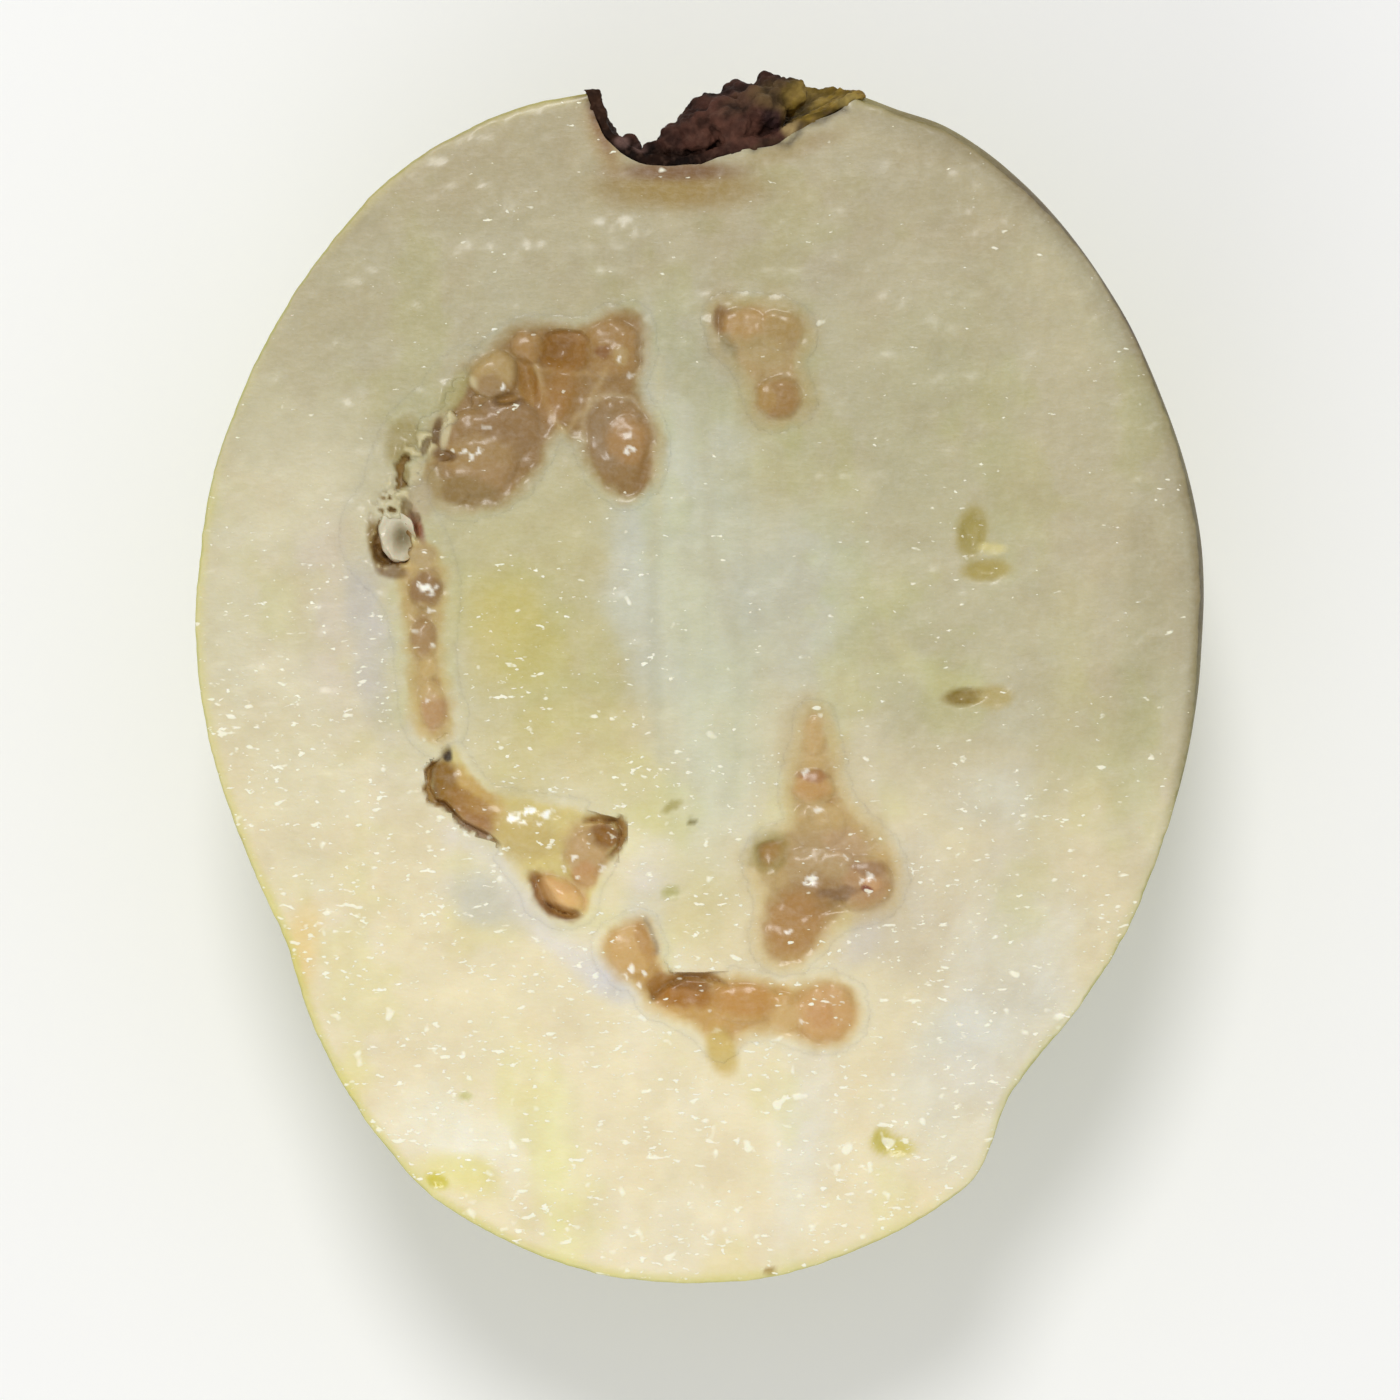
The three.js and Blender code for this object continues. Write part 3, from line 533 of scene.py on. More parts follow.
def pulp_surface(px, py, pocket):
    """Height of the pulp in a pocket against the cut face, in mm. It runs out over the flesh as a
    thin film and then dives into it."""
    relief = pocket["level"] + 0.07 * flat_noise(px, py, 16, 41) + 0.018 * flat_noise(px, py, 6, 42)
    bumps = np.zeros(px.shape)
    for *place, rise in pocket["domes"]:
        cap = np.sqrt(np.clip(1 - oval(px, py, place) ** 2, 0, 1)) * rise
        bumps = np.maximum(bumps, cap) + 0.25 * np.minimum(bumps, cap)
    relief += bumps
    for *place, depth in pocket["dips"]:
        relief -= 0.45 * depth * soft_oval(px, py, place, 1.5, 0.1)
    height = plain_height(px, py) + relief * smoothstep(pocket_edges(px, py, pocket), -1, 8)
    for place in pocket.get("crevices", []):
        height -= crevice(px, py, **place)
    if "patch" in pocket:
        height += torn_relief(px, py)
    border = patch_edges(px, py, pocket)
    height += FILM_ABOVE * smoothstep(border, -FILM_REACH, -FILM_REACH + 9)
    return height - 0.02 * np.clip(-border - FILM_REACH, 0, None) ** 2


# Meshes

def new_object(name, points, faces):
    """A mesh object from points in mm."""
    mesh = bpy.data.meshes.new(name)
    mesh.from_pydata((np.asarray(points) * MM).tolist(), [], faces)
    mesh.validate()
    piece = bpy.data.objects.new(name, mesh)
    bpy.context.scene.collection.objects.link(piece)
    return piece


def vertex_values(piece, key):
    values = np.empty(len(piece.data.vertices) * 3, np.float32)
    piece.data.vertices.foreach_get(key, values)
    return values.reshape(-1, 3).astype(float)


def points_of(piece):
    return vertex_values(piece, "co") / MM


def move_points(piece, points):
    piece.data.vertices.foreach_set("co", (points * MM).astype(np.float32).ravel())


def set_tone(piece, tone, **values):
    """Writes a colour for each point, and other named values."""
    layer = piece.data.attributes.new("tone", "FLOAT_COLOR", "POINT")
    rgba = np.ones((len(tone), 4), np.float32)
    rgba[:, :3] = np.clip(tone, 0, 1)
    layer.data.foreach_set("color", rgba.ravel())
    for name, value in values.items():
        layer = piece.data.attributes.new(name, "FLOAT", "POINT")
        layer.data.foreach_set("value", value.astype(np.float32))


def smooth_shade(piece, angle=55):
    piece.data.polygons.foreach_set("use_smooth", [True] * len(piece.data.polygons))
    piece.data.set_sharp_from_angle(angle=math.radians(angle))


def apply_modifier(piece, kind, **settings):
    modifier = piece.modifiers.new(kind.lower(), kind)
    for key, value in settings.items():
        setattr(modifier, key, value)
    bpy.context.view_layer.update()
    evaluated = piece.evaluated_get(bpy.context.evaluated_depsgraph_get())
    mesh = bpy.data.meshes.new_from_object(evaluated)
    piece.modifiers.clear()
    old = piece.data
    piece.data = mesh
    bpy.data.meshes.remove(old)


def combine(piece, other, operation):
    """Joins, cuts or intersects piece with other, which is used up."""
    apply_modifier(piece, "BOOLEAN", operation=operation, object=other, solver="MANIFOLD")
    bpy.data.objects.remove(other)


def closed_rings(rings, bottom, top):
    """Points and faces of a closed form: rings lowest first, with a point below and one above."""
    steps = len(rings[0])
    points = np.vstack([[bottom], *rings, [top]])
    faces = []
    for i in range(steps):
        j = (i + 1) % steps
        faces.append((0, 1 + j, 1 + i))
        for r in range(len(rings) - 1):
            low, high = 1 + r * steps, 1 + (r + 1) * steps
            faces.append((low + i, low + j, high + j, high + i))
        last = 1 + (len(rings) - 1) * steps
        faces.append((last + i, last + j, len(points) - 1))
    return points, faces


# The body's outline and round back

def turn_from(angle, toward):
    """How far an angle is turned from another, from -180 to 180 degrees."""
    return (angle - toward + 180) % 360 - 180


def polar(x, y):
    """Angle in degrees and distance of points from the middle of the back."""
    return np.degrees(np.arctan2(y - BACK_CENTRE[1], x - BACK_CENTRE[0])), np.hypot(
        x - BACK_CENTRE[0], y - BACK_CENTRE[1])


def from_polar(angle, radius):
    a = np.radians(angle)
    return BACK_CENTRE[0] + radius * np.cos(a), BACK_CENTRE[1] + radius * np.sin(a)


def outline_from_cad():
    """Angle and radius of the cut face's edge round the back's middle, straight over the hollow."""
    x, y, z = points_of(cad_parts["flesh"]).T
    rim = np.abs(z - LEVEL) < 1e-3
    angle, radius = polar(x[rim], y[rim])
    keep = (radius > OUTER_RADIUS) & ((angle < HOLLOW_ANGLES[0]) | (angle > HOLLOW_ANGLES[1]))
    over_angle, over_radius = polar(*np.array(OVER_HOLLOW).T)
    angle = np.concatenate([angle[keep], over_angle])
    radius = np.concatenate([radius[keep], over_radius])
    order = np.argsort(angle)
    angle, radius = angle[order], radius[order]
    nearby = np.abs(turn_from(angle[:, None], angle[None])) < 4
    outermost = radius > 0.95 * np.max(np.where(nearby, radius[None], 0), axis=1)
    angle, radius = angle[outermost], radius[outermost]
    apart = np.concatenate([[True], np.diff(angle) > 0.8])
    return angle[apart], radius[apart]


OUTLINE_ANGLE, OUTLINE_RADIUS = outline_from_cad()


def edge_radius(angle):
    """Radius of the cut edge in a direction, by a smooth curve through the known points."""
    a = np.concatenate([OUTLINE_ANGLE - 360, OUTLINE_ANGLE, OUTLINE_ANGLE + 360])
    r = np.tile(OUTLINE_RADIUS, 3)
    slope = np.gradient(r, a)
    i = np.clip(np.searchsorted(a, angle) - 1, 0, len(a) - 2)
    span = a[i + 1] - a[i]
    t = (angle - a[i]) / span
    radius = ((2 * t ** 3 - 3 * t ** 2 + 1) * r[i] + (t ** 3 - 2 * t ** 2 + t) * span * slope[i]
              + (3 * t ** 2 - 2 * t ** 3) * r[i + 1] + (t ** 3 - t ** 2) * span * slope[i + 1])
    for toward, spread, shift in EDGE_SHIFTS:
        radius = radius + shift * np.exp(-turn_from(angle, toward) ** 2 / (2 * spread ** 2))
    return radius


def back_profile(fraction, fullness):
    return np.clip(1 - fraction ** fullness, 0, 1) ** (1 / fullness)


def smooth_radius(angle):
    a = np.radians(angle)
    across = np.cos(a) / (SMOOTH_HALF_WIDTH * (1 + SMOOTH_TAPER * np.sin(a)))
    return 1 / np.hypot(across, np.sin(a) / SMOOTH_HALF_LENGTH)


def back_reach(angle, fraction):
    """Radius of the round back in a direction, at a share of its depth, in mm."""
    radius = mix(edge_radius(angle), smooth_radius(angle), smoothstep(fraction, 0, SMOOTH_BELOW))
    reach = radius * back_profile(fraction, BACK_FULLNESS)
    for toward, spread, height, far in SWELLINGS:
        down = np.sin(np.pi * np.minimum(1, fraction / far))
        reach = reach + height * down * np.exp(-turn_from(angle, toward) ** 2 / (2 * spread ** 2))
    return reach


# Relief of the cut face

def plain_height(px, py):
    """Height of the cut face against the cut plane between its pockets and pits, in mm."""
    height = 0.05 * flat_noise(px, py, 12, 1) + 0.02 * flat_noise(px, py, 7, 2)
    return height + 0.12 * flat_noise(px, py, 90, 3) + 0.06 * flat_noise(px * 0.5, py, 26, 4)


def cut_face_height(px, py):
    """Height of the flesh against the cut plane, in mm."""
    height = plain_height(px, py)
    for pocket in POCKETS.values():
        near = close_to(px, py, pocket)
        edge = patch_edges(px[near], py[near], pocket)
        height[near] -= POCKET_DEPTH * smoothstep(edge, -4, 1)
    uneven = shifted(px, py, 3, 8, 6)
    for *place, depth, _ in PITS:
        height -= depth * soft_oval(*uneven, place, 1.15, 0.35)
    return height


def near_torn_strip(px, py):
    """How near a point is to the torn strip, from 0 to 1."""
    return np.exp(-(line_distance(px, py, TORN_STRIP) / 13) ** 2)


def torn_relief(px, py):
    """Ragged, torn flesh along the upper left pocket, and the gap that the cut seed sits in."""
    folds = rough_noise(px, py, np.zeros_like(px), 15, 61)
    ragged = 0.5 * smoothstep(folds, 0.0, 0.35) - 0.75 * smoothstep(-folds, 0.12, 0.4)
    uneven = shifted(px, py, 3, 7, 8)
    height = near_torn_strip(px, py) * ragged - 1.3 * soft_oval(*uneven, CUT_SEED_HOLLOW, 1.15, 0.7)
    return height - 0.9 * soft_oval(*uneven, CUT_SEED_SLIT, 1.2, 0.4)


# Colour of the flesh and skin

def flesh_tone(px, py, height):
    """Colour of the cut flesh by its place on the cut face."""
    warp_x = px + 30 * flat_noise(px, py, 120, 71) + 12 * flat_noise(px, py, 40, 72)
    warp_y = py + 40 * flat_noise(px, py, 120, 73) + 14 * flat_noise(px, py, 40, 74)
    # Partly painted light: the bands run from darker at the calyx end to lighter low down
    tone = np.tile(srgb(*FLESH_TOP), (len(px), 1))
    for colour, start, end in FLESH_BANDS:
        tone = blend(tone, srgb(*colour), smoothstep(warp_y, start, end))
    tone = paint_ovals(tone, warp_x, warp_y, FLESH_AREAS)
    tone = paint_ovals(tone, px, py, CALYX_STAINS)
    pale = smoothstep(flat_noise(px, py * 0.75, 46, 161) + 0.4 * flat_noise(px, py, 15, 162), 0.1, 0.7)
    pale = pale * (0.25 + 0.35 * smoothstep(py, *PALE_ROWS))
    tone = blend(tone, tone * (1.0, 1.02, 1.1) + 0.02, pale)
    leafy = smoothstep(flat_noise(px, py * 0.6, 60, 163) + 0.4 * flat_noise(px, py, 18, 164), 0.1, 0.7)
    tone = blend(tone, tone * (0.94, 0.97, 0.74), 0.5 * leafy)
    dull = smoothstep(flat_noise(px, py, 38, 165) + 0.5 * flat_noise(px, py, 12, 166), 0.0, 0.6)
    tone = blend(tone, tone * (0.94, 0.9, 0.86), 0.45 * dull)
    fibre = flat_noise(px * 3.2, py * 0.16, 26, 75)
    tone = tone * (1 + 0.045 * soft_oval(px, py, CORE, 1.1, 0.4) * fibre)[:, None]
    tone = tone * (1 + 0.04 * flat_noise(px, py, 45, 76) + 0.03 * flat_noise(px, py, 14, 77))[:, None]
    for pocket in POCKETS.values():
        near = close_to(px, py, pocket)
        tone[near] = pocket_tone(tone[near], px[near], py[near], height[near], pocket)
    pits = [(*place, colour, 0.95) for *place, _, colour in PITS]
    tone = paint_ovals(tone, px, py, pits, 1.5, 0.7)
    tone = draw_lines(torn_tone(tone, px, py, height), px, py, FACE_LINES)
    # Painted light: the flesh is brighter toward the lower left and darker toward the upper right
    return tone * mix(0.93, 1.07, smoothstep(py + 0.8 * (ORIGIN_PIXEL[0] - px), *PAINTED_LIGHT_ROWS))[:, None]


def pocket_tone(tone, px, py, height, pocket):
    """Adds the colour of a pocket's pulp, and of the walls of its gaps, to a tone."""
    edge = pocket_edges(px, py, pocket)
    soft = pocket["soft"] * (1 + 0.6 * flat_noise(px, py, 30, 23))
    pulp = np.tile(srgb(*pocket["tone"]), (len(px), 1))
    pulp = pulp * (1 + 0.08 * flat_noise(px, py, 26, 21) + 0.05 * flat_noise(px, py, 9, 22))[:, None]
    pulp = blend(pulp, tone, 0.35 * smoothstep(-edge, -9, 0))
    pulp = paint_ovals(pulp, *shifted(px, py, 3, 9, 51), pocket["tones"], 1.3, 0.6)
    pulp = pulp * PULP_WARMTH * pocket.get("shade", (1, 1, 1))
    pulp = draw_lines(pulp, px, py, pocket.get("lines", []))
    # Low places turn to the gap wall's gold: partly its colour, partly painted shade
    deep = smoothstep(-height, 0.16, 0.6)
    pulp = blend(pulp, srgb(*GAP_WALL), 0.7 * deep)
    uneven_x, uneven_y = px + 4 * flat_noise(px, py, 5, 55), py + 3 * flat_noise(px, py, 4, 56)
    # Painted highlights: the sparks of wet spots
    sparks = [(*place, 0, SPARK, strength) for *place, strength in pocket.get("sparks", [])]
    pulp = paint_ovals(pulp, uneven_x, uneven_y, sparks, 1.1, 0.4)
    return blend(tone, pulp, np.maximum(smoothstep(edge, -soft, 0.45 * soft), deep))


def draw_lines(tone, px, py, lines):
    """Draws thin soft lines: their points, half width, colour and strength."""
    uneven = shifted(px, py, 2, 8, 53)
    for points, width, colour, strength in lines:
        distance = line_distance(*uneven, points)
        share = LINE_STRENGTH * strength * np.exp(-(distance / (LINE_WIDTH * width)) ** 2)
        tone = blend(tone, srgb(*colour), share)
    return tone


def torn_tone(tone, px, py, height):
    """Olive and red-brown stains round the torn edge and the seed that was cut. The tone is darker where
    the torn flesh lies low, paler where it stands up, and darker in the cut seed's hollow.
    """
    tone = paint_ovals(tone, px, py, TORN_STAINS, 1.3, 0.6)
    torn = smoothstep(near_torn_strip(px, py), 0.25, 0.7)
    tone = blend(tone, srgb(*TORN_FLOOR), 0.85 * smoothstep(-height, 0.12, 0.5) * torn)
    tone = blend(tone, srgb(*TORN_FLAP), 0.7 * smoothstep(height, 0.12, 0.4) * torn)
    inside = soft_oval(px, py, CUT_SEED_HOLLOW, 1.3, 0.95) * smoothstep(-height, 0.08, 0.45)
    return blend(tone, srgb(*HOLLOW_WALL), 0.9 * inside)


def shaded_side(x, y, z):
    """How much painted shade turns the skin dark olive-brown, from 0 to 1: only high up on the right."""
    turn = np.abs(turn_from(polar(x, y)[0], 30))
    high = smoothstep(z, LEVEL - 22, LEVEL - 5)
    side_shade = smoothstep(-turn, -64, -34) * high * (0.95 + 0.12 * value_noise(x, y, z, 9, 84))
    return np.clip(side_shade, 0, 1)


def skin_tone(x, y, z, side_shade):
    """Colour of the skin on the round back: yellow-green, with painted shade in dark olive-brown at the
    upper right.
    """
    fresh, pale, olive, straw = srgb(166, 170, 84), srgb(198, 194, 114), srgb(78, 63, 44), srgb(128, 108, 44)
    tone = mix(fresh, pale, smoothstep(rough_noise(x, y, z, 16, 81), -0.5, 0.6)[:, None])
    tone = blend(tone, olive, side_shade)
    tone = blend(tone, straw, smoothstep(y, 30, 43) * 0.45 * smoothstep(z, 4, 20))
    return tone * (1 + 0.05 * value_noise(x, y, z, 7, 86))[:, None]


def wetness(px, py):
    """How many painted glints of wet highlights the cut face has, from 0 to 1: more low down and at the
    left.
    """
    return 0.04 + 0.96 * smoothstep(py + 0.35 * (ORIGIN_PIXEL[0] - px), *GLINT_ROWS)


# The flesh and its pulp

def hollow_form(name, place, inset, steps=110):
    """The calyx hollow as a closed form, made smaller all round by inset, with uneven walls."""
    edge = smooth_closed(place["outline"], 8)
    closed = np.vstack([edge, edge[:1]])
    lengths = np.concatenate([[0], np.cumsum(np.hypot(*np.diff(closed, axis=0).T))])
    at = np.arange(steps) / steps * lengths[-1]
    ring = np.column_stack([np.interp(at, lengths, closed[:, k]) for k in range(2)])
    middle = ring.mean(0)
    away = ring - middle
    reach = np.hypot(*away.T)
    away /= reach[:, None]
    depth = place["depth"] - inset
    rings = []
    for level in np.sin(np.linspace(-0.97, 0.97, 31) * math.pi / 2):
        z = np.full(steps, LEVEL + depth * level)
        flat = middle + away * ((reach - inset) * back_profile(abs(level), place["fullness"]))[:, None]
        flat = flat + away * (0.16 * value_noise(flat[:, 0], flat[:, 1], z, 1.1, 91))[:, None]
        rings.append(np.column_stack([flat, z]))
    return new_object(name, *closed_rings(rings, (*middle, LEVEL - depth), (*middle, LEVEL + depth)))


def half_points(grown=0.0, relief=True):
    """Points and faces of the whole half: the cut face as a fine grid, then rings down the back."""
    n = FACE_GRID
    side = np.linspace(-1, 1, n)
    u, v = np.meshgrid(side, side, indexing="ij")
    dx, dy = u * np.sqrt(1 - v * v / 2), v * np.sqrt(1 - u * u / 2)
    share = np.hypot(dx, dy).ravel()
    angle = np.degrees(np.arctan2(dy, dx)).ravel()
    edge = edge_radius(angle) + grown
    uneven = 0.07 * value_noise(angle, share * 0, share * 0, 1.7, 11)
    uneven = uneven + 0.05 * value_noise(angle, share * 0, share * 0, 0.7, 12)
    x, y = from_polar(angle, share * (edge - GRID_INSET + uneven))
    z = np.full(x.shape, LEVEL)
    if relief:
        z += cut_face_height(*to_pixels(x, y)) * smoothstep(-share, -1, -0.985)
    index = np.arange(n * n).reshape(n, n)
    faces = np.stack([index[:-1, :-1], index[1:, :-1], index[1:, 1:], index[:-1, 1:]], -1).reshape(-1, 4)
    rim = np.concatenate([index[:-1, 0], index[-1, :-1], index[:0:-1, -1], index[0, :0:-1]])
    rim_angle, rim_edge, rim_uneven = angle[rim], edge[rim], uneven[rim]
    rings = [(rim_edge - inset + part * rim_uneven, below) for inset, part, below in CUT_EDGE]
    last = math.asin((LEVEL - FLOOR) / BACK_DEPTH)
    for turn in np.linspace(0, last, BACK_RINGS + 1)[1:]:
        fraction = math.sin(turn)
        rings.append((back_reach(rim_angle, fraction) + grown, BACK_DEPTH * fraction))
    points = [np.column_stack([x, y, z])]
    all_faces = [faces]
    before = rim
    start = n * n
    for reach, below in rings:
        points.append(np.column_stack([*from_polar(rim_angle, reach), np.full(len(rim), LEVEL - below)]))
        now = np.arange(start, start + len(rim))
        all_faces.append(np.stack([before, now, np.roll(now, -1), np.roll(before, -1)], -1))
        before = now
        start += len(rim)
    points.append([[*BACK_CENTRE, FLOOR]])
    fan = [(int(a), start, int(b)) for a, b in zip(before, np.roll(before, -1))]
    return np.vstack(points), np.vstack(all_faces).tolist() + fan


def make_flesh():
    piece = new_object("flesh_fine", *half_points())
    for name, place in (("bowl_cutter", CALYX_BOWL), ("groove_cutter", CALYX_GROOVE)):
        combine(piece, hollow_form(name, place, 0), "DIFFERENCE")
    x, y, z = points_of(piece).T
    px, py = to_pixels(x, y)
    tone = flesh_tone(px, py, z - LEVEL)
    angle, distance = polar(x, y)
    inset = back_reach(angle, np.clip((LEVEL - z) / BACK_DEPTH, 0, 1)) - distance
    side_shade = shaded_side(x, y, z)
    skin = smoothstep(-inset, -0.3, -0.12) * smoothstep(LEVEL - z, 0.04, 0.12)
    skin = np.maximum(skin, smoothstep(-z, -1.0, -0.2))
    low_left = np.exp(-(turn_from(angle, -130) / 60) ** 2)
    right = np.exp(-(turn_from(angle, -10) / 45) ** 2)
    rim = 0.06 + 0.7 * low_left + 0.3 * right + 0.4 * side_shade + 0.25 * value_noise(x, y, z, 6, 15)
    rim = smoothstep(-inset, -1.0, -0.1) * (1 - skin) * np.clip(rim, 0, 1)
    edge_tone = mix(srgb(*EDGE_YELLOW), srgb(*EDGE_GREEN), right[:, None])
    # On the shaded upper right the rim turns brown as painted shade
    tone = blend(tone, blend(edge_tone, srgb(*SHADED_EDGE_BROWN), side_shade), rim)
    # Painted shade: the flesh darkens near the edge on the shaded upper right
    tone = tone * (1 - 0.17 * side_shade * smoothstep(-inset, -2.6, -0.3) * (1 - skin))[:, None]
    lining = smoothstep(y, *LINING_Y) * (np.abs(x - LINING_X[0]) < LINING_X[1])
    lining = lining * smoothstep(LEVEL - z, 0.15, 0.5)
    tone = blend(tone, srgb(*LINING_BROWN), 0.9 * lining * smoothstep(inset, 0.25, 0.6))
    tone = blend(tone, skin_tone(x, y, z, side_shade), skin)
    set_tone(piece, tone, wet=(1 - skin) * wetness(px, py), skin=skin * (1 - 0.7 * side_shade))
    smooth_shade(piece)
    return piece


def make_pulp(name, pocket):
    """The glassy pulp and seeds of one pocket, as a closed form that fills its hollow."""
    outline, margin = covered_outline(pocket), FILM_REACH + 8
    spans = [np.arange(low - margin, high + margin, PULP_STEP / PIXEL_MM)
             for low, high in zip(np.min(outline, axis=0), np.max(outline, axis=0))]
    shape = [len(span) for span in spans]
    px, py = [a.ravel() for a in np.meshgrid(*spans, indexing="ij")]
    height = pulp_surface(px, py, pocket)
    keep = (patch_edges(px, py, pocket) > -FILM_REACH - 6).reshape(shape)
    cells = keep[:-1, :-1] & keep[1:, :-1] & keep[1:, 1:] & keep[:-1, 1:]
    index = np.arange(len(px)).reshape(shape)
    top = np.stack([index[:-1, :-1], index[:-1, 1:], index[1:, 1:], index[1:, :-1]], -1)[cells]
    used = np.unique(top)
    top = np.searchsorted(used, top)
    count = len(used)
    x, y = from_pixels(px[used], py[used])
    upper = np.column_stack([x, y, LEVEL + height[used]])
    lower = np.column_stack([x, y, np.full(count, LEVEL - POCKET_DEPTH - PULP_BELOW)])
    directed = np.concatenate([top[:, [k, (k + 1) % 4]] for k in range(4)])
    _, first, counts = np.unique(np.sort(directed, axis=1), axis=0, return_index=True, return_counts=True)
    start, end = directed[first[counts == 1]].T
    sides = np.stack([start, start + count, end + count, end], -1)
    faces = np.vstack([top, top[:, ::-1] + count, sides])
    piece = new_object("pulp_" + name, np.vstack([upper, lower]), faces.tolist())
    x, y, z = points_of(piece).T
    px, py = to_pixels(x, y)
    set_tone(piece, flesh_tone(px, py, z - LEVEL), wet=0.45 * wetness(px, py))
    smooth_shade(piece, 80)
    return piece


# The calyx and the cut seed

def calyx_tone(px, py, z):
    """Colour of the dried calyx, with painted shade darkening its depths."""
    tone = np.tile(srgb(*CALYX_BROWN), (len(px), 1))
    tone = paint_ovals(tone, px + 3 * flat_noise(px, py, 9, 171), py, CALYX_AREAS, 1.25, 0.6)
    tone = draw_lines(tone, px, py, [CALYX_LINE])
    deep = smoothstep(LEVEL - z, 0.5, 5) * smoothstep(-px, -DEEP_CALYX[1], -DEEP_CALYX[0])
    return blend(tone, tone * 0.4, deep)


def make_lump(place, random):
    x, y, below, radius = place
    bpy.ops.mesh.primitive_ico_sphere_add(subdivisions=4, radius=radius * MM)
    piece = bpy.context.object
    co = points_of(piece)
    offset = random.random(3) * 50
    way = co / np.linalg.norm(co, axis=1)[:, None]
    swell = 1 + 0.28 * rough_noise(*(way * 1.6 + offset).T, 1.0, 101)
    move_points(piece, co * swell[:, None] * (1, 1, 0.9) + (x, y, LEVEL - below))
    return piece


def make_calyx():
    """The dried lining of the hollow and the lumps heaped in it, as one crusty solid."""
    shell = hollow_form("calyx_crust", CALYX_BOWL, -0.08)
    combine(shell, hollow_form("groove", CALYX_GROOVE, -0.08), "UNION")
    inner = hollow_form("inner_bowl", CALYX_BOWL, CRUST_THICKNESS)
    combine(inner, hollow_form("inner_groove", CALYX_GROOVE, CRUST_THICKNESS), "UNION")
    combine(shell, inner, "DIFFERENCE")
    combine(shell, new_object("half_form", *half_points(grown=0.3, relief=False)), "INTERSECT")
    random = np.random.default_rng(5)
    for place in CALYX_LUMPS:
        combine(shell, make_lump(place, random), "UNION")
    apply_modifier(shell, "REMESH", mode="VOXEL", voxel_size=CRUST_STEP * MM)
    co = points_of(shell)
    folds = rough_noise(*co.T, 1.0, 111)
    crust = 0.3 * folds + 0.1 * value_noise(*co.T, 0.35, 112)
    co += vertex_values(shell, "normal") * crust[:, None]
    move_points(shell, co)
    shell.data.update()
    x, y, z = co.T
    tone = calyx_tone(*to_pixels(x, y), z)
    # Painted shade in the crust's low folds and painted light on its high ones
    set_tone(shell, tone * mix(0.45, 1.2, smoothstep(folds, -0.55, 0.35))[:, None])
    smooth_shade(shell, 180)
    return shell


def make_cut_seed():
    """The pale seed that the knife cut, flat and a little hollow on its cut side."""
    low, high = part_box("seed_white")
    bpy.ops.mesh.primitive_ico_sphere_add(subdivisions=5, radius=MM)
    piece = bpy.context.object
    piece.name = "cut_seed"
    x, y, z = points_of(piece).T
    d = SEED_DENT
    dent = np.exp(-(np.hypot(x - d["x"], y - d["y"]) / d["radius"]) ** 2)
    z = np.where(z > d["level"], d["level"] - d["depth"] * dent, z)
    tone = mix(srgb(*SEED_FACE), srgb(*SEED_HOLLOW), dent[:, None])
    set_tone(piece, blend(tone, srgb(*SEED_SIDE), 0.8 * smoothstep(x - y, 0.7, 1.3)))
    swell = 1 + 0.3 * rough_noise(x, y, z, 1.0, 121)
    x, y = x * SEED_HALF_SIZE[0] * swell, y * SEED_HALF_SIZE[1] * swell
    z = z * SEED_HALF_SIZE[2] + 0.22 * rough_noise(x, y, z, 0.8, 122)
    a = math.radians(SEED_TURN)
    turned = np.column_stack([x * math.cos(a) - y * math.sin(a), x * math.sin(a) + y * math.cos(a), z])
    move_points(piece, turned + ((low.x + high.x) / 2 / MM, (low.y + high.y) / 2 / MM, LEVEL - SEED_BELOW))
    smooth_shade(piece, 60)
    return piece


# Materials

